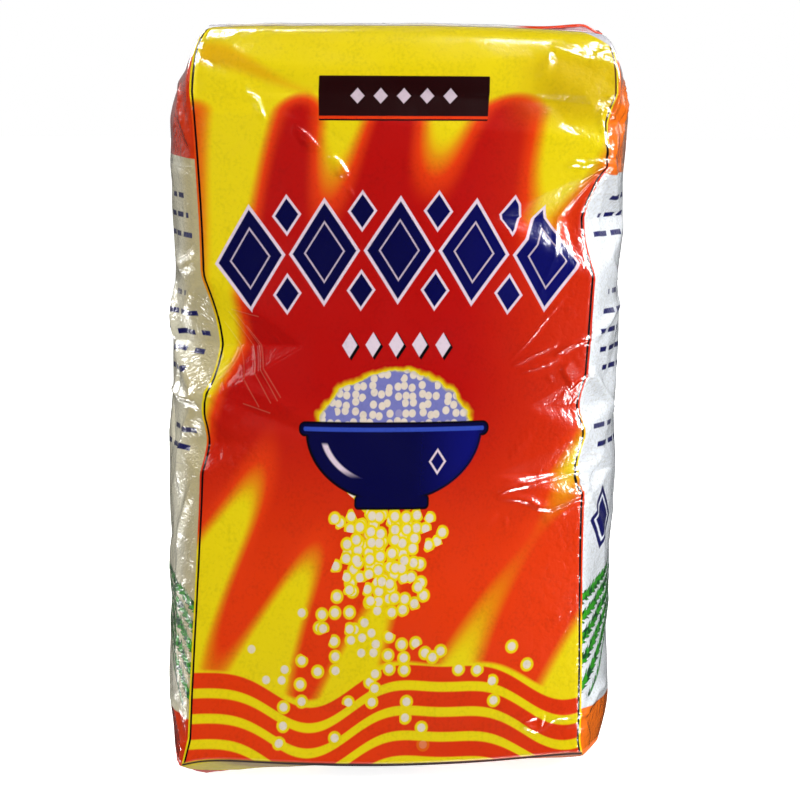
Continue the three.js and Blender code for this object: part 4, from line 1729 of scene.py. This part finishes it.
@dataclass(frozen=True)
class Leaves:
    """Long jagged leaves that reach from the foot of each upright edge to the upper middle.

    They spread from a root beyond the panel's foot. Angles are in radians.
    """

    root: Point = (46.0, 53.0)
    first_angle: float = 0.24
    pitch: float = 0.094
    first: Point = (-0.05, -0.04)
    last: Point = (0.47, 0.46)
    above: Point = (16.6, 17.2)
    tip: float = 20.0
    tip_wave: Wave = Wave(2.1, 2.0)
    taper: Point = (0.0, 16.0)
    half_width: float = 1.75
    tooth_length: float = 2.3
    tooth_step: float = 0.37
    tooth_slant: float = 0.35
    tooth_depth: float = 0.6
    tooth_root: float = 1.05
    ragged_noise: Noise = Noise(0.7, 2.0, 23.0)
    ragged: float = 1.5
    edge: float = 0.14
    light_noise: Noise = Noise(0.45, 2.0, 17.0)
    light_least: float = 0.4
    light: Point = (0.0, 0.1)
    light_inset: float = 0.25
    light_edge: float = 0.2

    def lay(self, sheet: Sheet, paint: Paint, inset: Reading) -> None:
        """Lays the leaves.

        Args:
            sheet: the flat film.
            paint: the print that they lie on.
            inset: distances from the nearest upright edge.
        """
        x, y = (-inset) + self.root[0], (-sheet.up) + self.root[1]
        radius = sheet.length(x, y)
        angle = y.calc("ARCTAN2", x) - self.first_angle
        blade, off = angle.repeat(self.pitch)
        across = abs(off) * radius
        tip = self.tip_wave.over(blade) + self.tip
        broad = (radius - tip).ramp(*self.taper).root() * self.half_width
        tooth = radius / self.tooth_length + blade * self.tooth_step + across * self.tooth_slant
        tooth = (-tooth.calc("FRACT")) * self.tooth_depth + self.tooth_root
        ragged = (sheet.noise(self.ragged_noise) - 0.5) * self.ragged
        shape = across - broad * tooth + ragged
        zone = angle.ramp(*self.first) * angle.ramp(*self.last) * sheet.up.ramp(*self.above)
        light = (sheet.noise(self.light_noise) - self.light_least).ramp(*self.light)
        paint.lay(Ink.DARK_LEAF, shape.inside(self.edge) * zone)
        paint.lay(Ink.LEAF, (shape + self.light_inset).inside(self.light_edge) * zone * light)


@dataclass(frozen=True)
class SidePanel:
    """A pale side panel with orange ends, plain navy bars and a fan of green leaves."""

    band_head: float = 145.3
    band_foot: float = 14.5
    band_slope: float = 0.029
    band_edge: float = 0.15
    milk_edge: float = 0.5
    left: Point = (5.0, -5.0)
    warm: Point = (11.0, 3.0)
    speck_noise: Noise = Noise(1.5, 2.0, 15.0)
    speck_least: float = 0.48
    speck: Point = (0.0, 0.2)
    speck_share: float = 0.28
    streak_at: float = 13.0
    streak_slope: float = 0.22
    streak_half: float = 2.2
    streak_edge: float = 2.0
    streak_share: float = 0.55
    head: Point = (171.5, 173.0)
    motifs: tuple[Union[Bars, SideLozenge, Leaves], ...] = (Bars(), SideLozenge(), Leaves())

    def paint(self, sheet: Sheet) -> Paint:
        """Makes the print of both side panels."""
        inner = sheet.from_middle - FACE_HALF
        inset = inner.lower((-inner) + GUSSET)
        right = sheet.across.ramp(*self.left[::-1])
        paint = Paint(sheet.tree, Ink.COOL_MILK)
        # the left panel is laid warmer and darker than the right, most near its upright edges:
        # partly sugar pressed to the film, partly painted shade
        warm = Paint(sheet.tree, Ink.MILK)
        warm.lay(Ink.WARM_MILK, inset.ramp(*self.warm))
        paint.lay(warm, sheet.across.ramp(*self.left))
        specks = (sheet.noise(self.speck_noise) - self.speck_least).ramp(*self.speck)
        paint.lay(Ink.SPECK, specks * self.speck_share)
        for motif in self.motifs:
            motif.lay(sheet, paint, inset)
        brow = sheet.up + sheet.across * self.band_slope - self.band_head
        foot = sheet.up.ramp(self.band_foot + self.band_edge, self.band_foot - self.band_edge)
        band = Paint(sheet.tree, Ink.BAND)
        # the band is laid lighter on the right panel, where the light falls: painted light
        band.lay(Ink.LIGHT_BAND, right)
        # a cream streak across the right band: a painted reflection
        reflection_streak = inset - self.streak_at - (sheet.up - self.band_head) * self.streak_slope
        reflection_streak = (abs(reflection_streak) - self.streak_half).inside(self.streak_edge)
        band.lay(Ink.CREAM, reflection_streak * right * self.streak_share)
        paint.lay(band, brow.ramp(-self.band_edge, self.band_edge).higher(foot))
        paint.lay(Ink.LILAC, sheet.up.ramp(*self.head))
        return paint

    def milky(self, sheet: Sheet, side: Reading) -> Reading:
        """Where a side panel is pale, out of where there is one."""
        foot, head = self.band_foot, self.band_head
        above = sheet.up.ramp(foot - self.milk_edge, foot + self.milk_edge)
        below = sheet.up.ramp(head + self.milk_edge, head - self.milk_edge)
        return side * above * below


@dataclass(frozen=True)
class EdgeLines:
    """Thin black lines down both faces, just inside the upright edges."""

    inset: float = 0.9
    half_width: float = 0.3
    edge: float = 0.08

    def lay(self, sheet: Sheet, paint: Paint) -> None:
        """Lays the lines."""
        for place in (FACE_HALF - self.inset, FACE_HALF + GUSSET + self.inset):
            line = (abs(sheet.from_middle - place) - self.half_width).inside(self.edge)
            paint.lay(Ink.BLACK, line)


@dataclass(frozen=True)
class HollowPaintedShade:
    """Painted shade and reflection: an amber tint in the hollow under the shoulder's left half."""

    height: float = 163.0
    climb_left: Point = (-20.0, -50.0)
    climb: float = 9.5
    wide_left: Point = (-18.0, -48.0)
    half_width: float = 2.6
    edge: float = 1.6
    middle: float = -36.0
    reach: Point = (15.0, 13.4)
    share: float = 0.5

    def lay(self, sheet: Sheet, paint: Paint) -> None:
        """Lays the painted shade and reflection."""
        x = sheet.across
        off = abs(sheet.up - x.ramp(*self.climb_left) * self.climb - self.height)
        hollow = (off - x.ramp(*self.wide_left) * self.half_width).inside(self.edge)
        paint.lay(Ink.AMBER, hollow * abs(x - self.middle).ramp(*self.reach) * self.share)


@dataclass(frozen=True)
class ShoulderPaintedShade:
    """Painted shade: amber and black laid over the right half of the shoulder."""

    right: Point = (22.0, 38.0)
    above: Point = (152.0, 160.0)
    below: Point = (179.0, 168.0)
    reach: Point = (51.4, 51.0)
    amber_share: float = 0.22
    black_share: float = 0.16

    def lay(self, sheet: Sheet, paint: Paint) -> None:
        """Lays the painted shade."""
        x, up = sheet.across, sheet.up
        corner = x.ramp(*self.right) * up.ramp(*self.above) * up.ramp(*self.below)
        corner = corner * sheet.from_middle.ramp(*self.reach)
        paint.lay(Ink.AMBER, corner * self.amber_share)
        paint.lay(Ink.BLACK, corner * self.black_share)


@dataclass(frozen=True)
class PaintedCreaseHighlights:
    """Painted highlights: fine pale lines along straight creases, where they catch the light."""

    creases: tuple[Crease, ...]
    half_width: float = 0.14
    edge: float = 0.14
    share: float = 0.1

    def lay(self, sheet: Sheet, paint: Paint) -> None:
        """Lays the painted highlights."""
        for start, end in self.creases:
            crease = (sheet.line(start, end) - self.half_width).inside(self.edge)
            paint.lay(Ink.CREAM, crease * self.share)


@dataclass(frozen=True)
class UnderfootPaintedShade:
    """Painted shade under the foot's fold on the front: darker film and a dark crease line."""

    below: Point = (4.1, 3.7)
    reach: Point = (52.0, 51.6)
    olive: Point = (-14.0, -34.0)
    yellow: Point = (-38.0, -47.0)
    yellow_share: float = 0.8
    peach: Point = (6.0, 34.0)
    line_at: float = 3.5
    line_half: float = 0.25
    line_edge: float = 0.2

    def lay(self, sheet: Sheet, paint: Paint) -> None:
        """Lays the painted shade under the fold."""
        x, up = sheet.across, sheet.up
        shade = Paint(sheet.tree, Ink.MAROON)
        shade.lay(Ink.OLIVE, x.ramp(*self.olive))
        shade.lay(Ink.YELLOW, x.ramp(*self.yellow) * self.yellow_share)
        shade.lay(Ink.PEACH, x.ramp(*self.peach))
        line = abs(up - self.line_at) - self.line_half
        shade.lay(Ink.MAROON, line.inside(self.line_edge))
        paint.lay(shade, up.ramp(*self.below) * sheet.from_middle.ramp(*self.reach))


@dataclass(frozen=True)
class PaleHead:
    """The pale right corner of the head, and the pale seal with its orange right end."""

    corner_at: Point = (46.4, 181.0)
    corner_slope: Point = (0.74, 0.67)
    corner_edge: Point = (-0.2, 0.3)
    corner_reach: Point = (60.0, 58.0)
    seal: Point = (203.0, 204.0)
    orange: Point = (25.0, 31.0)

    def lay(self, sheet: Sheet, paint: Paint) -> None:
        """Lays the corner and the seal."""
        x, up = sheet.across - self.corner_at[0], sheet.up - self.corner_at[1]
        corner = (x * self.corner_slope[0] + up * self.corner_slope[1]).ramp(*self.corner_edge)
        seal = sheet.up.ramp(*self.seal)
        paint.lay(Ink.LILAC, corner * sheet.from_middle.ramp(*self.corner_reach))
        paint.lay(Ink.LILAC, seal)
        paint.lay(Ink.ORANGE, seal * sheet.across.ramp(*self.orange))


@dataclass(frozen=True)
class Mottle:
    """A faint mottle all over, as of ink on handled film."""

    fine: Noise = Noise(1.1, 4.0, 21.0)
    broad: Noise = Noise(0.16, 2.0, 41.0)
    broad_share: float = 0.6
    least: float = 0.8
    share: float = 0.34

    def lay(self, sheet: Sheet, paint: Paint) -> None:
        """Lays the mottle."""
        mottle = sheet.noise(self.fine) + sheet.noise(self.broad) * self.broad_share - self.least
        paint.lay(Ink.SOOT, mottle.higher(0.0) * self.share)


@dataclass(frozen=True)
class PrintedFilm:
    """Glossy printed packing film over sugar: its ink with painted shade and light, gloss and fine
    relief.
    """

    # the creases that get a painted highlight along them
    painted_highlight: tuple[Crease, ...]
    name: str = "printed_film"
    gloss: float = 0.3
    roughness: float = 0.22
    haze: float = 0.10
    haze_noise: Noise = Noise(0.08, 3.0, 11.0)
    milk_roughness: float = 0.08
    table_roughness: float = 0.7
    coat: float = 1.0
    coat_roughness: float = 0.05
    off_table: Point = (3.7, 4.5)
    crease_noise: Noise = Noise(1.0 / 5.0, 3.0, 31.0)
    crease_depth: float = 0.0004
    crease_out: Point = (30.0, 50.0)
    grain_noise: Noise = Noise(1.0 / 0.6, 2.0, 3.0)
    grain_depth: float = 0.00015
    relief_least: float = 0.15
    back_edge: Point = (-0.1, 0.1)
    side_edge: Point = (-0.2, 0.1)
    ribbons: Ribbons = Ribbons()
    faces: tuple[Motif, ...] = (FootWaves(), Bowl(), Garland(), Plaque(), BackBox())
    side_panel: SidePanel = SidePanel()

    def build(self) -> bpy.types.Material:
        """Makes the material.

        Returns:
            The material, with the whole print in its nodes.
        """
        material = bpy.data.materials.new(self.name)
        material.use_nodes = True
        tree = material.node_tree
        shader = tree.nodes["Principled BSDF"]
        shader.inputs["Specular IOR Level"].default_value = self.gloss
        shader.inputs["Coat Roughness"].default_value = self.coat_roughness
        sheet = Sheet(tree)
        off_table = sheet.up.ramp(*self.off_table)
        tree.links.new((off_table * self.coat).socket, shader.inputs["Coat Weight"])
        paint, milky = self.paint(sheet)
        tree.links.new(paint.socket, shader.inputs["Base Color"])
        rough = sheet.noise(self.haze_noise) * self.haze + (self.roughness - self.haze / 2.0)
        rough = rough + milky * self.milk_roughness + ((-off_table) + 1.0) * self.table_roughness
        tree.links.new(rough.socket, shader.inputs["Roughness"])
        self.relief(sheet, milky, shader)
        return material

    def relief(self, sheet: Sheet, milky: Reading, shader: bpy.types.ShaderNode) -> None:
        """Fine creases of handled film, and the grain of the sugar under it.

        Args:
            sheet: the flat film.
            milky: 1 on the pale side panels.
            shader: the material's shader.
        """
        tree = sheet.tree
        least = self.relief_least
        outward = sheet.from_middle.ramp(*self.crease_out) * (1.0 - least) + least
        creases = abs(sheet.noise(self.crease_noise) - 0.5) * outward
        grain = sheet.noise(self.grain_noise) * (milky * (1.0 - least) + least)
        normal = None
        for height, depth in ((creases, self.crease_depth), (grain, self.grain_depth)):
            bump = tree.nodes.new("ShaderNodeBump")
            bump.inputs["Distance"].default_value = depth
            tree.links.new(height.socket, bump.inputs["Height"])
            if normal is not None:
                tree.links.new(normal, bump.inputs["Normal"])
            normal = bump.outputs[0]
        tree.links.new(normal, shader.inputs["Normal"])
        tree.links.new(normal, shader.inputs["Coat Normal"])

    def paint(self, sheet: Sheet) -> tuple[Paint, Reading]:
        """Lays out the whole print, with painted shade, reflection and highlights laid over it.

        Args:
            sheet: the flat film.

        Returns:
            The print, and a number that is 1 on the pale side panels.
        """
        from_middle = sheet.from_middle
        back_from = FACE_HALF + GUSSET
        paint = self.ribbons.paint(sheet, sheet.across, sheet.up)
        back_x = (-from_middle) + (back_from + FACE_HALF)
        back = (from_middle - back_from).ramp(*self.back_edge)
        paint.lay(self.ribbons.paint(sheet, back_x, sheet.up), back)
        for motif in self.faces:
            motif.lay(sheet, paint)
        side = (from_middle - FACE_HALF).ramp(*self.side_edge)
        side = side * ((-from_middle) + back_from).ramp(*self.side_edge)
        paint.lay(self.side_panel.paint(sheet), side)
        # painted shade and reflection in the hollow, painted shade on the shoulder and under the
        # foot, and painted highlights along creases
        painted_light = (HollowPaintedShade(), ShoulderPaintedShade(), PaintedCreaseHighlights(self.painted_highlight), UnderfootPaintedShade())
        for motif in (EdgeLines(), *painted_light, PaleHead(), Mottle()):
            motif.lay(sheet, paint)
        return paint, self.side_panel.milky(sheet, side)


# ------------------------------------------------------------------ fin and seam


@dataclass
class SealFin:
    """The head's seal: a ribbed strip of film folded forwards, its right end standing off.

    Each of its edge's waves has the length of a radian, where it starts and its height.
    """

    form: BagForm = field(default_factory=BagForm)
    root: float = 1.5
    reach: float = 13.0
    thickness: float = 0.45
    half_length: float = 46.6
    lift_from: float = 26.0
    lift_root: float = 0.5
    lift_height: float = 1.0
    curl_run: float = 5.0
    curl_height: float = -1.6
    rib_pitch: float = 1.6
    rib_height: float = 0.12
    clearance: float = 0.3
    waves: tuple[Triple, ...] = ((6.5, 1.0, 0.28), (2.9, 0.0, 0.18))
    wave_growth: float = 1.5
    wave_at_rest: float = 0.35
    sway_length: float = 9.0
    sway: float = 0.35
    flat_stretch: float = 1.03
    flat_root: float = 205.0
    along_steps: int = 300
    across_steps: int = 26
    name: str = "seal_fin"

    def surface(self, x: Array, share: Array) -> Array:
        """The strip's middle surface.

        Args:
            x: a row of places along the strip.
            share: a column of shares of the way from its root to its free edge.

        Returns:
            Points in millimetres.
        """
        form = self.form
        film = form.head_height - form.droop_at(x)
        lifted = ease(self.lift_from, self.half_length, x)
        curled = ease(self.half_length - self.curl_run, self.half_length, x)
        root = film + self.lift_root * lifted
        edge = film + self.lift_height * lifted + self.curl_height * curled
        wave = sum(height * np.sin(x / length + start) for length, start, height in self.waves)
        grown = share**self.wave_growth * (self.wave_at_rest + lifted)
        ribs = np.sin(2.0 * np.pi * share * self.reach / self.rib_pitch)
        z = mix(root, edge, share) + self.clearance + wave * grown + self.rib_height * ribs
        sway = self.sway * np.sin(x / self.sway_length) * share
        y = self.root - self.reach * share + sway
        x = x + form.lean * z / form.head_height
        return np.stack([x, y, z], axis=-1)

    def build(self, offset: Array) -> bpy.types.Object:
        """Makes the fin.

        Args:
            offset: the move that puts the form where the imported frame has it.

        Returns:
            The fin.
        """
        x = np.linspace(-self.half_length, self.half_length, self.along_steps + 1)[None, :]
        share = np.linspace(0.0, 1.0, self.across_steps + 1)[:, None]
        middle = self.surface(x, share)
        normal = normals_of(middle)
        normal = normal * np.sign(normal[..., 2:3])
        top = middle + normal * self.thickness / 2.0
        under = middle - normal * self.thickness / 2.0
        loop = np.concatenate([under, top[::-1], under[:1]])
        up = np.concatenate([share, share[::-1], share[:1]]) * self.reach + self.flat_root
        piece = MeshMaker().from_grid(self.name, loop + offset, x * self.flat_stretch, up)
        close_holes(piece)
        return piece


def close_holes(piece: bpy.types.Object) -> None:
    """Fills the open ends of a strip."""
    work = bmesh.new()
    work.from_mesh(piece.data)
    edges = [edge for edge in work.edges if edge.is_boundary]
    if edges:
        bmesh.ops.holes_fill(work, edges=edges, sides=0)
    bmesh.ops.recalc_face_normals(work, faces=work.faces)
    work.to_mesh(piece.data)
    work.free()


@dataclass
class LapSeam:
    """The lap seam up the middle of the back: a strip of doubled film with one free edge."""

    tube: FilmTube
    half_width: float = 6.0
    thickness: float = 0.35
    proud: float = 0.42
    free_lift: float = 0.25
    free_from: Point = (0.4, 1.0)
    free_wave: float = 7.0
    print_inset: float = 1.0
    start: float = 0.03
    end: float = 1.9
    steps: int = 220
    across_steps: int = 14
    name: str = "lap_seam"

    def build(self, offset: Array) -> bpy.types.Object:
        """Makes the seam.

        Args:
            offset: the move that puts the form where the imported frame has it.

        Returns:
            The seam.
        """
        form = self.tube.form
        levels = np.linspace(self.start, self.end, self.steps + 1)
        along = np.linspace(1.0, -1.0, self.across_steps + 1) * (
            self.half_width / form.edge_half_width[0]
        )
        film = form.film(Panel.BACK, along, levels)
        up = np.interp(levels, self.tube.levels(), self.tube.up())[:, None]
        seam = FACE_HALF + GUSSET + FACE_HALF
        flat = seam - along * FACE_HALF
        flat = np.where(flat > seam, flat - 2.0 * seam, flat)[None, :]
        lift = self.tube.wrinkles.height_at(flat, up)
        lift = lift * self.tube.wrinkled_at(levels)[:, None]
        to_edge = np.linspace(-1.0, 1.0, self.across_steps + 1)[None, :]
        free = self.free_lift * ease(*self.free_from, to_edge)
        free = free * (1.0 + np.sin(up / self.free_wave))
        normal = normals_of(film)
        outer = film + normal * (lift + self.proud + free)[..., None]
        inner = outer - normal * self.thickness
        loop = np.concatenate([outer, inner[:, ::-1], outer[:, :1]], axis=1)
        plain = np.full((1, loop.shape[1]), seam - self.print_inset)
        piece = MeshMaker().from_grid(self.name, loop + offset, plain, up)
        close_holes(piece)
        return piece


# ------------------------------------------------------------------ studio


class Glow(Enum):
    """What a lamp's light is for."""

    SHADE = "soft light on the film"
    GLINT = "a bright shape for the gloss to mirror"


@dataclass(frozen=True)
class Lamp:
    """A soft box: its bearing and height from the bag's middle, its size and its light."""

    name: str
    glow: Glow
    azimuth: float
    elevation: float
    size: Point
    radiance: float
    colour: Colour = (1.0, 1.0, 1.0)
    distance: float = 1.15

    @property
    def watts(self) -> float:
        """The power that gives its radiance."""
        return self.radiance * math.pi * self.size[0] * self.size[1]


def bearing(azimuth: float, elevation: float) -> Vector:
    """A unit vector towards a bearing in degrees, 0 being in front and 90 to the right."""
    turn, rise = math.radians(azimuth), math.radians(elevation)
    flat = math.cos(rise)
    return Vector((math.sin(turn) * flat, -math.cos(turn) * flat, math.sin(rise)))


@dataclass
class Studio:
    """The floor, the lights and the camera, in metres and degrees."""

    aim: tuple[float, float, float] = (0.001, 0.0, 0.0881)
    azimuth: float = -0.2
    elevation: float = 6.0
    distance: float = 0.7965
    roll: float = 0.3
    frame_width: float = 0.19474
    sensor: float = 36.0
    floor_half: float = 6.0
    backdrop: float = 1.0
    room_above: float = 0.52
    room_below: float = 0.42
    room_rise: Point = (-0.7, 0.9)
    mirror_front: float = 0.018
    mirror_behind: float = 0.22
    mirror_back: Point = (0.35, 0.8)
    mirror_rise: Point = (-0.1, 0.05)
    paper: Colour = (0.93, 0.93, 0.93)
    paper_roughness: float = 0.8
    paper_gloss: float = 0.1
    paper_glow: float = 0.80
    lamps: tuple[Lamp, ...] = (
        Lamp("key_light", Glow.SHADE, 44.0, 10.0, (0.24, 0.24), 11.6, (1.0, 1.0, 0.98), 0.62),
        Lamp("front_light", Glow.SHADE, -20.0, 8.0, (0.30, 0.30), 7.2, (1.0, 0.98, 0.94)),
        Lamp("right_light", Glow.SHADE, 88.0, 20.0, (0.24, 0.40), 20.0, (0.94, 0.97, 1.0)),
        Lamp("left_light", Glow.SHADE, -88.0, 20.0, (0.24, 0.40), 16.0, (1.0, 0.95, 0.84)),
        Lamp("back_light", Glow.SHADE, 165.0, 30.0, (0.40, 0.40), 12.0, (1.0, 1.0, 1.0)),
    )
    sides: tuple[float, ...] = (0.0, 180.0)
    glints: tuple[Lamp, ...] = (
        Lamp("right_glint", Glow.GLINT, 54.0, 30.0, (0.30, 0.60), 38.0),
        Lamp("high_glint", Glow.GLINT, 35.0, 63.0, (0.22, 0.42), 30.0),
        Lamp("table_glint", Glow.GLINT, 26.0, -60.0, (0.50, 0.34), 30.0),
        Lamp("low_glint", Glow.GLINT, 60.0, -34.0, (0.24, 0.36), 22.0),
        Lamp("lip_glint", Glow.GLINT, 46.0, -22.0, (0.14, 0.22), 26.0),
        Lamp("left_glint", Glow.GLINT, -58.0, 28.0, (0.26, 0.62), 2.5),
        Lamp("end_glint", Glow.GLINT, 90.0, 52.0, (0.40, 0.26), 24.0),
    )

    def build(self) -> None:
        """Sets up the studio round the bag."""
        self._world()
        self._floor()
        for lamp in (*self.lamps, *self.glint_lamps()):
            self._light(lamp)
        self._camera()

    def glint_lamps(self) -> list[Lamp]:
        """The bright shapes that the gloss mirrors, in front of the bag and behind it."""
        return [
            replace(lamp, name=f"{lamp.name}_{side:.0f}", azimuth=lamp.azimuth + side)
            for side in self.sides
            for lamp in self.glints
        ]

    def _world(self) -> None:
        """A white backdrop, a soft room lit from above, and a dim one for the gloss to mirror."""
        world = bpy.data.worlds.new("studio")
        world.use_nodes = True
        tree = world.node_tree
        source = tree.nodes.new("ShaderNodeTexCoord")
        split = tree.nodes.new("ShaderNodeSeparateXYZ")
        tree.links.new(source.outputs["Generated"], split.inputs[0])
        rise = Reading(tree, split.outputs[2])
        back = Reading(tree, split.outputs[1])
        behind = back.ramp(*self.mirror_back) * rise.ramp(*self.mirror_rise)
        soft = rise.ramp(*self.room_rise) * (self.room_above - self.room_below) + self.room_below
        mirrored = behind * (self.mirror_behind - self.mirror_front) + self.mirror_front
        ray = tree.nodes.new("ShaderNodeLightPath")
        glossy = Reading(tree, ray.outputs["Is Glossy Ray"])
        seen = Reading(tree, ray.outputs["Is Camera Ray"])
        strength = mirrored * glossy + soft * ((-glossy) + 1.0) * ((-seen) + 1.0)
        strength = strength + seen * self.backdrop
        room = tree.nodes["Background"]
        room.inputs["Color"].default_value = (1.0, 1.0, 1.0, 1.0)
        tree.links.new(strength.socket, room.inputs["Strength"])
        bpy.context.scene.world = world
        bpy.context.scene.view_settings.view_transform = "Standard"

    def _floor(self) -> None:
        """A plain pale floor, which neither the gloss nor the soft light sees."""
        half = self.floor_half
        corners = [(-half, -half, 0), (half, -half, 0), (half, half, 0), (-half, half, 0)]
        mesh = bpy.data.meshes.new("studio_floor")
        mesh.from_pydata(corners, [], [(0, 1, 2, 3)])
        floor = bpy.data.objects.new("studio_floor", mesh)
        bpy.context.scene.collection.objects.link(floor)
        paper = bpy.data.materials.new("studio_paper")
        paper.use_nodes = True
        shader = paper.node_tree.nodes["Principled BSDF"]
        shader.inputs["Base Color"].default_value = (*self.paper, 1.0)
        shader.inputs["Roughness"].default_value = self.paper_roughness
        shader.inputs["Specular IOR Level"].default_value = self.paper_gloss
        shader.inputs["Emission Color"].default_value = (1.0, 1.0, 1.0, 1.0)
        shader.inputs["Emission Strength"].default_value = self.paper_glow
        mesh.materials.append(paper)
        floor.visible_glossy = False
        floor.visible_diffuse = False

    def _light(self, lamp: Lamp) -> None:
        """One soft box, facing the bag."""
        data = bpy.data.lights.new(lamp.name, "AREA")
        data.shape = "RECTANGLE"
        data.size, data.size_y = lamp.size
        data.energy = lamp.watts
        data.color = lamp.colour
        light = bpy.data.objects.new(lamp.name, data)
        away = bearing(lamp.azimuth, lamp.elevation)
        light.location = Vector(self.aim) + away * lamp.distance
        light.rotation_euler = (-away).to_track_quat("-Z", "Y").to_euler()
        light.visible_diffuse = lamp.glow is Glow.SHADE
        light.visible_glossy = lamp.glow is Glow.GLINT
        data.use_shadow = lamp.glow is Glow.SHADE
        bpy.context.scene.collection.objects.link(light)

    def _camera(self) -> None:
        """The camera, at the photograph's viewing angle."""
        data = bpy.data.cameras.new("camera")
        data.sensor_width = self.sensor
        data.sensor_fit = "HORIZONTAL"
        data.lens = self.sensor * self.distance / self.frame_width
        camera = bpy.data.objects.new("camera", data)
        away = bearing(self.azimuth, self.elevation)
        camera.location = Vector(self.aim) + away * self.distance
        turn = (-away).to_track_quat("-Z", "Y").to_matrix().to_4x4()
        turn = turn @ Matrix.Rotation(math.radians(self.roll), 4, "Z")
        camera.rotation_euler = turn.to_euler()
        bpy.context.scene.collection.objects.link(camera)
        bpy.context.scene.camera = camera


# ------------------------------------------------------------------ the whole bag


@dataclass
class SugarBag:
    """The bag: its film, fin and seam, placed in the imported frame."""

    tube: FilmTube = field(default_factory=FilmTube)

    def offset(self) -> Array:
        """The move from the form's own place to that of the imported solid."""
        points = self.tube.ring().points
        low = np.array(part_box(NODE)[0]) / MM
        reach = points.min(axis=(0, 1))
        return np.array([low[0] - reach[0], low[1] - reach[1], 0.0])

    def build(self) -> list[bpy.types.Object]:
        """Makes and dresses every piece.

        Returns:
            The pieces.
        """
        offset = self.offset()
        film = PrintedFilm(self.tube.wrinkles.painted_highlight_creases()).build()
        pieces = []
        for maker in (self.tube, SealFin(self.tube.form), LapSeam(self.tube)):
            piece = maker.build(offset)
            piece.data.materials.append(film)
            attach(piece, BODY)
            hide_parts(NODE)
            pieces.append(piece)
        return pieces


def main() -> None:
    """Builds the studio and the bag, and reports each piece."""
    Studio().build()
    for piece in SugarBag().build():
        log.info("%s: %d faces", piece.name, len(piece.data.polygons))


if __name__ == "__main__":
    main()
